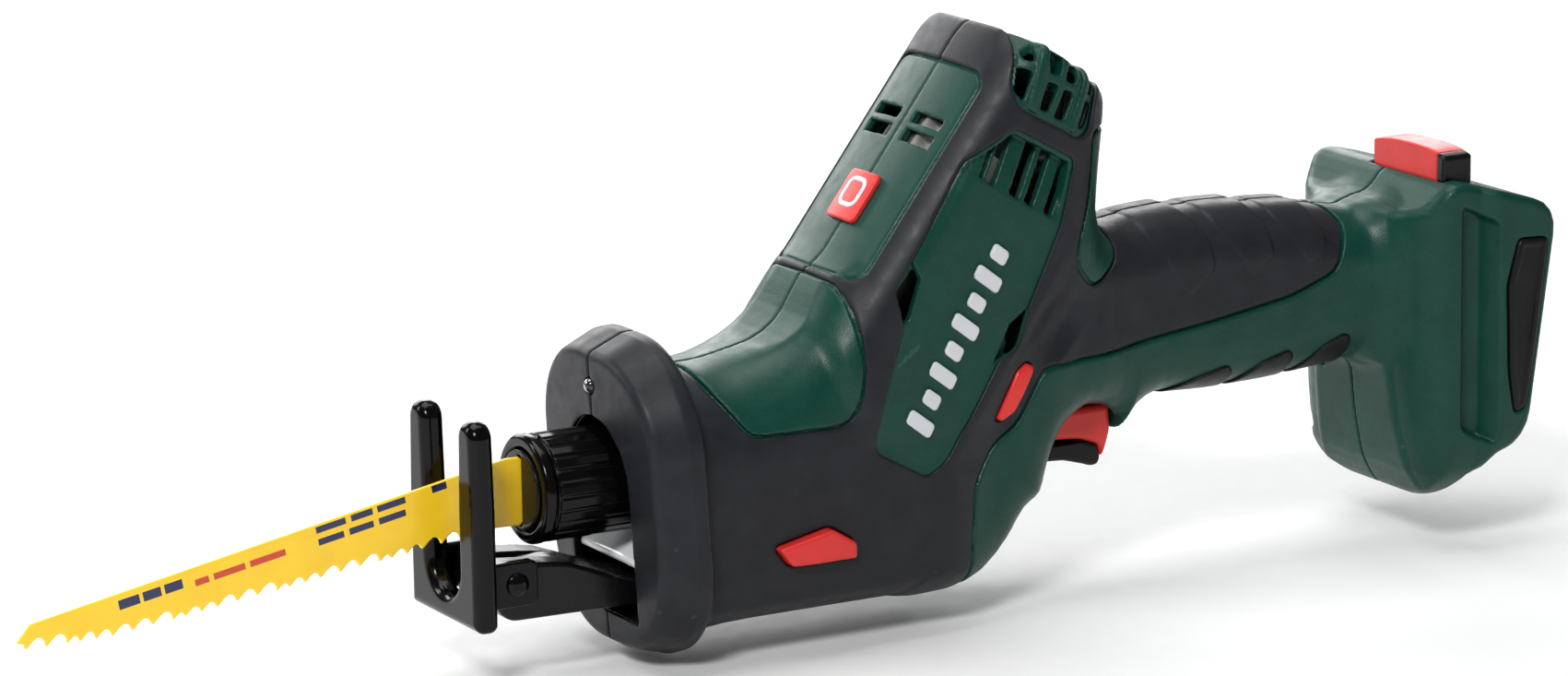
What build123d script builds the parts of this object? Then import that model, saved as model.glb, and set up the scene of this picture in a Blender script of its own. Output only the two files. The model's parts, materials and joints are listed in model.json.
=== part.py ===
from build123d import *
import os
from math import cos, radians, sin

# Compact cordless reciprocating saw, in millimetres.
# +X runs back along the stroke axis, the blade points to -X, +Z is up and -Y is the left side.
# The origin is on the stroke axis, in the mouth of the blade clamp with the crank at mid stroke.

os.makedirs("parts", exist_ok=True)

# ---------------------------------------------------------------- driving dimensions
wall = 3.2                  # full wall of the housing, soft layer included
skin = 1.4                  # thickness of the soft over-moulding
parting_gap = 0.02          # half of the gap between the two housing halves
reach = 70.0                # half length of the long prisms that outlines are extruded to

stroke = 16.0
crank_radius = stroke / 2
crank_x = 77.0              # crank axis, along Y through the stroke axis
motor_angle = 52.5          # motor axis above the stroke axis, seen from the side
gear_teeth = 43
pinion_teeth = 11
mesh_radius = 23.75         # radius of the crown gear where the pinion runs
pinion_radius = mesh_radius * pinion_teeth / gear_teeth
gear_radius = 27.2
gear_tooth_root = 20.6
pinion_front = 20.9         # distances along the motor axis from the crank axis
pinion_back = 27.2
front_bearing_at = 29.5
fan_at = 36.5
can_at = 45.5
can_length = 54.0
brush_plate_at = can_at + can_length
rear_bearing_at = 113.0
can_radius = 18.0
motor_shaft_radius = 2.5
motor_shaft_end = 118.0

rod_radius = 5.0
rod_front = 22.0
rod_back = 114.0
yoke_half_height = 14.1
yoke_half_length = 7.4
yoke_thickness = 7.0
roller_radius = 3.6
crank_pin_radius = 2.5
disc_back_y = -10.8          # left face of the crown gear's disc
crank_shaft_radius = 4.0
running_clearance = 0.04
ear_turns = (40, 85, 230, 310)   # gear case screws, clear of the pinion and of the plunger's bushes

sleeve_radius = 15.0
sleeve_length = 33.0
clamp_radius = 11.0
clamp_pin_x = 10.0
mouth_half_width = 17.5
mouth_bottom = -38.0

flange_lean = 3.5
flange_width = 70.0
flange_height = 90.0
flange_thickness = 14.0
flange_centre_z = -4.5

blade_thickness = 1.25
blade_tip_x = -143.0
tooth_pitches = (6.0, 5.7, 5.7, 4.5, 4.5, 3.4)

shoe_front_x = -24.2
shoe_depth = 7.0
shoe_half_width = 20.5
shoe_slot_half_width = 9.0
shoe_pivot_x = -9.5
shoe_pivot_z = -21.5
shoe_ear_radius = 6.3
shoe_pin_radius = 2.5

# ---------------------------------------------------------------- outlines, side view (X, Z)
barrel_side = [
    (34, -43), (50, -40.5), (121, -40.5), (128, -37), (128, 31), (34, 31),
]
neck_side = [(58, 0), (58, 31.2), (68, 33), (76, 36.5), (81, 41), (84, 47), (100, 47), (100, 0)]
tower_side = [
    (79, 38), (137, 113.5), (142, 116), (168, 99.5), (174.4, 94), (174.4, 88),
    (170.5, 72), (168.5, 58), (162, 30), (150, 8), (92, 8), (84, 24),
]
guard_side = [
    (105, -39.5), (122, -39.5), (133, -36), (141, -30.5), (146.5, -21.5), (153.5, -18.5),
    (155, -9), (160, 0), (160, 30), (105, 30),
]
handle_side = [
    (140, 40), (162, 60), (168.5, 60), (172, 56), (178, 53.2), (190, 54.8), (213, 54.8),
    (240, 52.5), (262, 48.6), (276, 48.6), (276, 5), (256, 4), (232, 2), (212, 1.5),
    (194, 0.5), (187, -3), (182, -7), (155, -7), (140, 0),
]
foot_side = [
    (266, 48.8), (273, 50.2), (277, 56.8), (282, 58.5), (309, 50.5), (312.5, 44.5),
    (303.5, -15), (290.5, -28), (286.5, -28.5), (283.5, -38), (278.5, -36.8), (271.5, -25),
    (268.5, -10), (267.5, 4), (266, 5),
]
# half plans and sections, mirrored where they are used
tower_half_section = [(23, 22), (31, 12.5), (31, -75)]
tower_half_plan = [(50, 31), (157, 31), (176, 17)]
foot_half_plan = [(262, 19), (267, 22), (272, 28), (281, 33), (287, 34), (293.5, 38.5), (316, 38.5)]

# outlines of the soft over-moulding and of the bare nylon windows in it
soft_side = [
    (10, -60), (123.8, -60), (123.8, -26), (125, -10), (132, 0.5), (139.2, 4.3), (148.4, 19.3),
    (181.4, 20.9), (208, 24), (235, 28.2), (250, 33.5), (255, 46), (248, 62), (178, 70),
    (200, 140), (10, 140),
]
neck_window = [
    (39.5, 28), (44, 24.4), (52.3, 14.6), (56, 12.5), (82.6, 12.5), (87, 15.5), (89.4, 26.3),
    (88, 46), (84, 54), (39.5, 54),
]
panel_window = [
    (92.8, 9), (93.5, 4), (108.8, -4.6), (114.4, -1.2), (130.3, 23.6), (139, 35.3), (155, 78),
    (134.4, 87.7), (122.3, 83.4), (100.3, 47.2), (101.9, 37.7),
]
cap_window = [
    (138, 101), (141.8, 92.9), (160.3, 82.2), (163.2, 85.7), (180, 82), (180, 96), (146, 118),
]
web_window = [
    (160, 62), (162.6, 46.9), (169.9, 39.1), (178.3, 44.4), (178.7, 49.4), (173, 57), (180, 66),
    (166, 75),
]
bumper_side = [
    (299.3, 40.7), (309.2, 40.1), (302.5, -8.5), (298.4, -10.1), (296.4, 2), (295.6, 28),
]
finger_pad_x = (198.0, 220.5, 242.0)
lever_side = [(61, -18.8), (77.4, -14.8), (85, -19.5), (85, -24), (64.5, -24)]
lock_side = [(138.4, 20.8), (143.6, 22), (137.9, 7.8), (132.9, 6.7)]

light_side = [(26, -22.4), (26, -20.5), (34.5, -15.6), (37, -15.6), (37, -24.8)]

housing_screw_places = [
    (47.5, 19.5), (131, 29), (135, -27), (164, 70), (150, 101.5), (188, 44), (230, 11),
    (258, 40), (273.6, 38), (277, -22),
]

# ---------------------------------------------------------------- planes
motor_dir = Vector(cos(radians(motor_angle)), 0, sin(radians(motor_angle)))


def motor_plane(distance):
    """Plane across the motor axis; its local x is Y and its local y points to the tower's front."""
    origin = Vector(crank_x, 0, 0) + motor_dir * distance
    return Plane(origin=origin, x_dir=(0, 1, 0), z_dir=motor_dir)


def across_x(x):
    return Plane.YZ.offset(x)


def across_y(y):
    """Side-view plane at Y = y, with local x along X, local y along Z, extruding to -Y."""
    return Plane.XZ.offset(-y)


def crank_plane(y):
    """Plane across the crank axis with its origin on that axis, extruding towards +Y."""
    return Plane(origin=(crank_x, y, 0), x_dir=(-1, 0, 0), z_dir=(0, 1, 0))


def flange_plane(x):
    lean = radians(flange_lean)
    return Plane(origin=(x, 0, 0), x_dir=(0, -1, 0), z_dir=(-cos(lean), 0, -sin(lean)))


# ---------------------------------------------------------------- small tools
def outline(points, inset=0.0):
    """Closed outline in the open sketch, moved inwards by the inset."""
    Polygon(*points, align=None)
    if inset:
        offset(amount=-inset, kind=Kind.INTERSECTION, mode=Mode.REPLACE)


def mirrored(half, swap=False):
    """Full outline from a half outline of (half width, along) or, swapped, (along, half width)."""
    if swap:
        return half + [(a, -w) for a, w in reversed(half)]
    return half + [(-w, a) for w, a in reversed(half)]


def prism(points):
    """Side-view outline extruded to both sides of the middle plane."""
    with BuildPart() as solid:
        with BuildSketch(Plane.XZ):
            outline(points)
        extrude(amount=reach, both=True)
    return solid.part


def side_slab(points, low_y, high_y):
    """Side-view outline extruded from one Y to another."""
    with BuildPart() as solid:
        with BuildSketch(across_y(high_y)):
            outline(points)
        extrude(amount=high_y - low_y)
    return solid.part


def block(low, high):
    """Box between two corners."""
    size = [b - a for a, b in zip(low, high)]
    middle = tuple((a + b) / 2 for a, b in zip(low, high))
    with BuildPart() as solid:
        with Locations(middle):
            Box(*size)
    return solid.part


def tube(plane, length, outer, inner=0.0):
    """Round bar or ring standing on a plane."""
    with BuildPart() as solid:
        with BuildSketch(plane):
            Circle(outer)
            if inner:
                Circle(inner, mode=Mode.SUBTRACT)
        extrude(amount=length)
    return solid.part


def coil(plane, radius, wire, height, turns):
    """Round-wire helical spring standing on a plane."""
    with BuildPart() as solid:
        with BuildLine() as path:
            Helix(height / turns, height, radius, center=plane.origin, direction=plane.z_dir)
        start = path.wires()[0]
        with BuildSketch(Plane(origin=start @ 0, z_dir=start % 0)):
            Circle(wire / 2)
        sweep(is_frenet=True)
    return solid.part


def ball_bearing(plane, outer, inner, width):
    """Two races and the balls between them, as separate solids."""
    ring = (outer - inner) * 0.28
    ball = (outer - inner) * 0.2
    pitch = (outer + inner) / 2
    with BuildPart() as solid:
        with BuildSketch(plane):
            Circle(outer)
            Circle(outer - ring, mode=Mode.SUBTRACT)
            Circle(inner + ring)
            Circle(inner, mode=Mode.SUBTRACT)
        extrude(amount=width)
        with Locations(plane.offset(width / 2)):
            with PolarLocations(pitch, 7):
                Sphere(ball)
    return solid.part


def save(part, name):
    part.label = name
    export_step(part, f"parts/{name}.step")


# ---------------------------------------------------------------- housing volumes
def barrel_volume(inset):
    with BuildPart() as solid:
        with BuildSketch(Plane.XZ):
            outline(barrel_side, inset)
        extrude(amount=reach, both=True)
        with BuildSketch(Plane.YZ):
            with Locations((0, -6)):
                RectangleRounded(62 - 2 * inset, 74 - 2 * inset, 17 - inset)
        extrude(amount=300, mode=Mode.INTERSECT)
    return solid.part


def neck_volume(inset):
    """Rising saddle between the barrel's top and the tower."""
    with BuildPart() as solid:
        with BuildSketch(Plane.XZ):
            outline(neck_side, inset)
        extrude(amount=reach, both=True)
        with BuildSketch(Plane.YZ):
            with Locations((0, 16)):
                RectangleRounded(62 - 2 * inset, 62 - 2 * inset, 20 - inset)
        extrude(amount=300, mode=Mode.INTERSECT)
    return solid.part


def tower_volume(inset):
    with BuildPart() as solid:
        with BuildSketch(Plane.XZ):
            outline(tower_side, inset)
        extrude(amount=reach, both=True)
        with BuildSketch(motor_plane(0)):
            outline(mirrored(tower_half_section), inset)
        extrude(amount=200, both=True, mode=Mode.INTERSECT)
        with BuildSketch(Plane.XY):
            outline(mirrored(tower_half_plan, swap=True), inset)
        extrude(amount=200, both=True, mode=Mode.INTERSECT)
    return solid.part


def guard_volume(inset):
    with BuildPart() as solid:
        with BuildSketch(Plane.XZ):
            outline(guard_side, inset)
        extrude(amount=reach, both=True)
        with BuildSketch(Plane.YZ):
            with Locations((0, -2)):
                RectangleRounded(51 - 2 * inset, 76 - 2 * inset, 14 - inset)
        extrude(amount=300, mode=Mode.INTERSECT)
    return solid.part


def handle_volume(inset):
    with BuildPart() as solid:
        with BuildSketch(Plane.XZ):
            outline(handle_side, inset)
        extrude(amount=reach, both=True)
        with BuildSketch(Plane.YZ):
            with Locations((0, 27)):
                RectangleRounded(38 - 2 * inset, 68 - 2 * inset, 18 - inset)
        extrude(amount=400, mode=Mode.INTERSECT)
    return solid.part


def foot_volume(inset):
    with BuildPart() as solid:
        with BuildSketch(Plane.XZ):
            outline(foot_side, inset)
        extrude(amount=reach, both=True)
        with BuildSketch(Plane.XY):
            outline(mirrored(foot_half_plan, swap=True), inset)
        extrude(amount=200, both=True, mode=Mode.INTERSECT)
    return solid.part


def housing_volume(inset):
    """Every part of the housing but the flange, shrunk by the inset."""
    with BuildPart() as solid:
        add(barrel_volume(inset))
        add(neck_volume(inset))
        add(tower_volume(inset))
        add(guard_volume(inset))
        add(handle_volume(inset))
        add(foot_volume(inset))
    return solid.part


def flange_volume(inset):
    """Leaning rounded plate around the mouth, with softened rims."""
    with BuildPart() as solid:
        with BuildSketch(flange_plane(38.5 - inset)):
            with Locations((0, flange_centre_z)):
                RectangleRounded(flange_width - 2 * inset, flange_height - 2 * inset, 29 - inset)
        extrude(amount=flange_thickness - 2 * inset)
        chamfer(solid.faces().sort_by(Axis.X)[0].edges(), length=2.5)
    return solid.part


def led_bar(radius, length):
    """Round bar on the parting line above the mouth, square to the leaning flange."""
    with BuildPart() as solid:
        with BuildSketch(flange_plane(29)):
            with Locations((0, 26)):
                Circle(radius)
        extrude(amount=length)
    return solid.part


def mouth_tool():
    """Arched passage for the clamp and the shoe arm."""
    with BuildPart() as solid:
        with BuildSketch(across_x(10)):
            Circle(mouth_half_width)
            with Locations((0, mouth_bottom / 2)):
                Rectangle(2 * mouth_half_width, -mouth_bottom)
        extrude(amount=27.5)
    return solid.part


def vent_tool():
    """Side louvres, front slots and the louvres of the rear cap."""
    with BuildPart() as solid:
        for column in range(6):
            x = 125.5 + 4.6 * column
            z = 81.5 - 2.2 * column
            with BuildSketch(Plane.XZ):
                with Locations(Location((x, z), 14)):
                    SlotOverall(12.5, 2.2, rotation=90)
            extrude(amount=40, both=True)
        for row in range(3):
            for column in range(3):
                x = 149 + 7 * row
                z = 104.5 - 4.4 * row - 5.2 * column
                with BuildSketch(Plane.XZ):
                    with Locations(Location((x, z), 55)):
                        Rectangle(2.6, 4.6)
                extrude(amount=40, both=True)
        with BuildSketch(motor_plane(92)):
            with Locations((-14, 24), (-7, 24), (7, 24), (14, 24)):
                Rectangle(5.2, 8)
        extrude(amount=4)
        with BuildSketch(motor_plane(99)):
            with Locations((-14, 24), (-7, 24), (7, 24), (14, 24)):
                Rectangle(5.2, 8)
        extrude(amount=4)
    return solid.part


def opening_tool():
    """Every passage through the housing walls."""
    with BuildPart() as solid:
        add(mouth_tool())
        add(vent_tool())
        # trigger slot and the lock button's passage
        add(block((155.4, -9.2, -30), (181.4, 9.2, 8.8)))
        with BuildSketch(Plane.XZ):
            outline(lock_side, -0.4)
        extrude(amount=40, both=True)
        # shoe lever window, a little larger than the lever
        with BuildSketch(across_y(-20)):
            outline(lever_side, -0.4)
        extrude(amount=25)
        # battery bay, open to the rear and to the bottom
        add(block((297, -31, -60), (330, 31, 38)))
        # release button pocket in the top of the foot
        add(block((279.6, -28.4, 50), (290.4, 7.9, 70)))
    return solid.part


def soft_layer_region():
    """Where the housing is covered by the soft layer."""
    with BuildPart() as solid:
        add(prism(soft_side))
        add(prism(neck_window), mode=Mode.SUBTRACT)
        add(prism(cap_window), mode=Mode.SUBTRACT)
        add(prism(web_window), mode=Mode.SUBTRACT)
        add(side_slab(panel_window, 24, reach), mode=Mode.SUBTRACT)
        add(side_slab(panel_window, -reach, -24), mode=Mode.SUBTRACT)
        with BuildSketch(motor_plane(48)):
            with Locations((0, 27)):
                Rectangle(44, 20)
        extrude(amount=67, mode=Mode.SUBTRACT)
    return solid.part


# ---------------------------------------------------------------- housing pieces
def half_of(part, side):
    """One half of a part: side -1 is the left half, +1 the right half."""
    if side < 0:
        keep_box = block((-300, -reach - 5, -200), (500, -parting_gap, 300))
    else:
        keep_box = block((-300, parting_gap, -200), (500, reach + 5, 300))
    with BuildPart() as solid:
        add(part)
        add(keep_box, mode=Mode.INTERSECT)
    return solid.part


def screw_bosses():
    """Posts that reach from wall to wall across the hollow, around each housing screw."""
    with BuildPart() as solid:
        add(housing_volume(skin))
        with BuildSketch(Plane.XZ):
            with Locations(*housing_screw_places):
                Circle(3.6)
        extrude(amount=reach, both=True, mode=Mode.INTERSECT)
    return solid.part


def full_housing():
    """Hollow housing with its soft layer still part of it."""
    with BuildPart() as solid:
        add(housing_volume(0))
        add(flange_volume(0))
        add(housing_volume(wall), mode=Mode.SUBTRACT)
        add(screw_bosses())
        add(opening_tool(), mode=Mode.SUBTRACT)
        # the side panels' shallow recess
        add(side_slab(panel_window, 30.3, reach), mode=Mode.SUBTRACT)
        add(side_slab(panel_window, -reach, -30.3), mode=Mode.SUBTRACT)
        # pockets for the lenses, the badge and the bumper pads
        add(led_bar(2.3, 20), mode=Mode.SUBTRACT)
        add(badge_block(0.1), mode=Mode.SUBTRACT)
        add(side_slab(bumper_side, 37.0, reach), mode=Mode.SUBTRACT)
        add(side_slab(bumper_side, -reach, -37.0), mode=Mode.SUBTRACT)
    return solid.part


def screw_tool():
    """Holes for the housing screws, entered from the right side."""
    with BuildPart() as solid:
        with BuildSketch(across_y(reach)):
            with Locations(*housing_screw_places):
                Circle(3.3)
        extrude(amount=reach - 13)
        with BuildSketch(across_y(20)):
            with Locations(*housing_screw_places):
                Circle(1.6)
        extrude(amount=33)
    return solid.part


def badge_block(grow):
    """Small plate set into the front of the tower, over the parting line."""
    with BuildPart() as solid:
        with BuildSketch(motor_plane(64 - grow)):
            with Locations((0, 21.5)):
                Rectangle(15 + 2 * grow, 2.4 + 2 * grow)
        extrude(amount=16 + 2 * grow)
    return solid.part


def make_housing():
    body = full_housing()
    region = soft_layer_region()
    core = housing_volume(skin)
    with BuildPart() as soft:
        add(body)
        add(region, mode=Mode.INTERSECT)
        add(core, mode=Mode.SUBTRACT)
        add(block((23, -60, -60), (38.5, 60, 60)), mode=Mode.SUBTRACT)
        # the flange is covered all round, so its rim and front belong to the soft layer
        add(flange_ring())
        add(opening_tool(), mode=Mode.SUBTRACT)
    with BuildPart() as hard:
        add(body)
        add(soft.part, mode=Mode.SUBTRACT)
        add(screw_tool(), mode=Mode.SUBTRACT)
    for side, name in ((-1, "left"), (1, "right")):
        save(half_of(hard.part, side), f"housing_{name}")
        save(half_of(soft.part, side), f"soft_grip_{name}")


def flange_ring():
    """Soft skin of the flange: the whole plate less its nylon core."""
    with BuildPart() as solid:
        add(flange_volume(0))
        add(flange_volume(2.0), mode=Mode.SUBTRACT)
        add(block((36.5, -28, -38), (60, 28, 28)), mode=Mode.SUBTRACT)
        add(led_bar(2.3, 20), mode=Mode.SUBTRACT)
    return solid.part


def make_housing_screws():
    with BuildPart() as screws:
        with BuildSketch(across_y(16)):
            with Locations(*housing_screw_places):
                Circle(3.0)
                Circle(1.0, mode=Mode.SUBTRACT)
        extrude(amount=3)
        with BuildSketch(across_y(13.5)):
            with Locations(*housing_screw_places):
                Circle(1.6)
        extrude(amount=25)
    save(screws.part, "housing_screws")


def make_small_covers():
    save(badge_block(0), "badge_plate")
    for side, name in ((-1, "left"), (1, "right")):
        with BuildPart() as pad:
            add(side_slab(bumper_side, min(37.0 * side, 39.4 * side), max(37.0 * side, 39.4 * side)))
        save(pad.part, f"bumper_pad_{name}")
    with BuildPart() as pads:
        for x in finger_pad_x:
            z = 3.2 + (x - finger_pad_x[0]) * 0.06
            with BuildSketch(Plane.XZ):
                with Locations(Location((x + 8, z + 3), 22)):
                    SlotOverall(18, 8)
            extrude(amount=18, both=True)
        add(handle_volume(-0.9), mode=Mode.INTERSECT)
        add(handle_volume(0.0), mode=Mode.SUBTRACT)
    save(pads.part, "finger_pads")


def make_lenses():
    with BuildPart() as dome:
        add(led_bar(2.2, 5.4))
        chamfer(dome.faces().sort_by(Axis.X)[0].edges(), length=1.0)
    save(dome.part, "led_lens")
    with BuildPart() as window:
        with BuildSketch(across_y(mouth_half_width)):
            outline(light_side)
        extrude(amount=2 * mouth_half_width)
    save(window.part, "work_light_lens")


# ---------------------------------------------------------------- blade and clamp
def tooth_line(x):
    """Height of the tooth tips."""
    if x < -115.0:
        return -22.8
    return -22.8 + (x + 115.0) * 0.119


def make_blade():
    points = []
    x = -13.0
    count = 0
    while x > blade_tip_x + 4.0:
        pitch = tooth_pitches[count % len(tooth_pitches)]
        tip_z = tooth_line(x)
        points.append((x, tip_z + 2.2))
        points.append((x - 0.35 * pitch, tip_z + 2.6))
        points.append((x - 0.92 * pitch, tip_z))
        x -= pitch
        count += 1
    back = [(blade_tip_x - 3.0, -20.8), (blade_tip_x + 1.0, -16.2), (-5.0, 9.2), (-1.0, 9.2)]
    tang = [(2.5, 6.0), (20.0, 6.0), (20.0, -6.0), (2.5, -6.0), (-1.0, -9.6)]
    with BuildPart() as blade:
        with BuildSketch(Plane.XZ):
            outline(points + [(x, tooth_line(x) + 1.4)] + back + tang)
        extrude(amount=blade_thickness / 2, both=True)
    save(blade.part, "blade")


def make_clamp():
    with BuildPart() as clamp:
        with BuildSketch(across_x(3)):
            Circle(clamp_radius)
        extrude(amount=29)
        with BuildSketch(across_x(22)):
            Circle(rod_radius)
        extrude(amount=11, mode=Mode.SUBTRACT)
        # slot for the blade's tang, and the pin hole that meets it
        add(block((2, -0.75, -6.3), (21, 0.75, 6.3)), mode=Mode.SUBTRACT)
        add(block((2, -0.75, -10.2), (5, 0.75, 9.8)), mode=Mode.SUBTRACT)
        with BuildSketch(across_y(-0.8)):
            with Locations((clamp_pin_x, 0)):
                Circle(1.6)
        extrude(amount=11, mode=Mode.SUBTRACT)
        # groove for the torsion spring
        with BuildSketch(across_x(24.5)):
            Circle(20)
            Circle(9.6, mode=Mode.SUBTRACT)
        extrude(amount=9, mode=Mode.SUBTRACT)
    save(clamp.part, "clamp_body")

    with BuildPart() as pin:
        with BuildSketch(across_y(-0.8)):
            with Locations((clamp_pin_x, 0)):
                Circle(1.55)
        extrude(amount=9.9)
    save(pin.part, "clamp_pin")

    with BuildPart() as sleeve:
        with BuildSketch(across_x(0)):
            Circle(sleeve_radius)
            Circle(clamp_radius + running_clearance, mode=Mode.SUBTRACT)
        extrude(amount=sleeve_length)
        chamfer(sleeve.edges().filter_by(GeomType.CIRCLE).sort_by(Axis.X)[0:2], length=0.8)
        with BuildSketch(across_x(4)):
            with PolarLocations(sleeve_radius, 24):
                Rectangle(1.6, 1.2)
        extrude(amount=sleeve_length - 6, mode=Mode.SUBTRACT)
        with BuildSketch(across_x(24.5)):
            Circle(13.2)
        extrude(amount=7.5, mode=Mode.SUBTRACT)
    save(sleeve.part, "clamp_sleeve")
    save(coil(across_x(25.4), 11.3, 1.2, 5.2, 3.5), "clamp_spring")


# ---------------------------------------------------------------- shoe
def make_shoe():
    with BuildPart() as shoe:
        with BuildSketch(across_x(shoe_front_x)):
            with Locations((0, -4)):
                Rectangle(2 * shoe_half_width, 57)
            with Locations((0, 8)):
                SlotOverall(66, 2 * shoe_slot_half_width, rotation=90, mode=Mode.SUBTRACT)
        extrude(amount=shoe_depth)
        top_corners = shoe.edges().filter_by(Axis.X).group_by(Axis.Z)[-1]
        fillet(top_corners, radius=5.2)
        bottom_corners = shoe.edges().filter_by(Axis.X).group_by(Axis.Z)[0]
        chamfer(bottom_corners, length=2.0)
        # two ears reach back to the pivot pin
        for low_y, high_y in ((-15.3, -12.3), (12.3, 15.3)):
            with BuildSketch(across_y(high_y)):
                with Locations((shoe_pivot_x, shoe_pivot_z)):
                    Circle(shoe_ear_radius)
                with Locations(((shoe_front_x + shoe_depth + shoe_pivot_x) / 2, shoe_pivot_z)):
                    Rectangle(shoe_pivot_x - shoe_front_x - shoe_depth + 0.4, 2 * shoe_ear_radius)
            extrude(amount=high_y - low_y)
        with BuildSketch(Plane.XZ):
            with Locations((shoe_pivot_x, shoe_pivot_z)):
                Circle(shoe_pin_radius + running_clearance)
        extrude(amount=20, both=True, mode=Mode.SUBTRACT)
    save(shoe.part, "shoe_plate")

    arm_side = [
        (-9.5, -32.6), (-12.6, -30.5), (-14.6, -27), (-15.6, -21.5), (-14.6, -17.8), (-12.5, -16.4),
        (2, -17.8), (8, -18.8), (24, -25), (45, -30.6), (104, -30.6), (104, -36.8), (46, -36.8), (30, -33.2),
    ]
    with BuildPart() as arm:
        with BuildSketch(Plane.XZ):
            outline(arm_side)
        extrude(amount=12, both=True)
        # lightening pocket, open to the top
        add(block((48, -9, -34), (96, 9, -10)), mode=Mode.SUBTRACT)
        # groove that the tooth tips pass over
        add(block((-17, -3, -18.6), (16, 3, -10)), mode=Mode.SUBTRACT)
        with BuildSketch(Plane.XZ):
            with Locations((shoe_pivot_x, shoe_pivot_z)):
                Circle(shoe_pin_radius)
        extrude(amount=20, both=True, mode=Mode.SUBTRACT)
    save(arm.part, "shoe_arm")

    with BuildPart() as pin:
        with BuildSketch(across_y(15.6)):
            with Locations((shoe_pivot_x, shoe_pivot_z)):
                Circle(shoe_pin_radius)
        extrude(amount=31.2)
        for start in (17.0, -15.6):
            with BuildSketch(across_y(start)):
                with Locations((shoe_pivot_x, shoe_pivot_z)):
                    Circle(4.0)
            extrude(amount=1.4)
        chamfer(pin.faces().filter_by(Axis.Y).sort_by(Axis.Y)[0].edges(), length=0.8)
        chamfer(pin.faces().filter_by(Axis.Y).sort_by(Axis.Y)[-1].edges(), length=0.8)
    save(pin.part, "shoe_pivot_pin")

    with BuildPart() as rails:
        add(block((44, -16.5, -37.2), (100, -12.4, -31.5)))
        add(block((44, 12.4, -37.2), (100, 16.5, -31.5)))
    save(rails.part, "shoe_guide_rails")

    with BuildPart() as lever:
        with BuildSketch(across_y(-22)):
            outline(lever_side)
        extrude(amount=11.4)
        chamfer(lever.faces().sort_by(Axis.Y)[0].edges(), length=0.9)
        # collar behind the wall
        add(block((59, -25.8, -26), (87, -22, -13.5)))
    save(lever.part, "shoe_lever")
    save(coil(Plane(origin=(74, -21.6, -22), z_dir=(0, 1, 0)), 3.0, 0.7, 8.8, 5), "shoe_lever_spring")


# ---------------------------------------------------------------- drive
def make_plunger():
    with BuildPart() as plunger:
        with BuildSketch(across_x(rod_front)):
            Circle(rod_radius)
        extrude(amount=rod_back - rod_front)
        yoke_low = (crank_x - yoke_half_length, -yoke_thickness / 2, -yoke_half_height)
        yoke_high = (crank_x + yoke_half_length, yoke_thickness / 2, yoke_half_height)
        add(block(yoke_low, yoke_high))
        corners = plunger.edges().filter_by(Axis.Y).filter_by_position(Axis.Z, 14, 15)
        corners += plunger.edges().filter_by(Axis.Y).filter_by_position(Axis.Z, -15, -14)
        chamfer(corners, length=2.2)
        # the slot is wider than the roller, which the opened yoke joint needs
        with BuildSketch(Plane.XZ):
            with Locations((crank_x, 0)):
                SlotOverall(2 * (crank_radius + roller_radius + 0.4), 10.8, rotation=90)
        extrude(amount=20, both=True, mode=Mode.SUBTRACT)
    save(plunger.part, "plunger")
    bush_outer = 7.0
    bush_inner = rod_radius + running_clearance
    save(tube(across_x(44.5), 4.5, bush_outer, bush_inner), "plunger_bush_front")
    save(tube(across_x(105.2), 6.0, bush_outer, bush_inner), "plunger_bush_rear")
    save(tube(across_x(42.4), 2.0, bush_outer, bush_inner), "plunger_seal")


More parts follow.
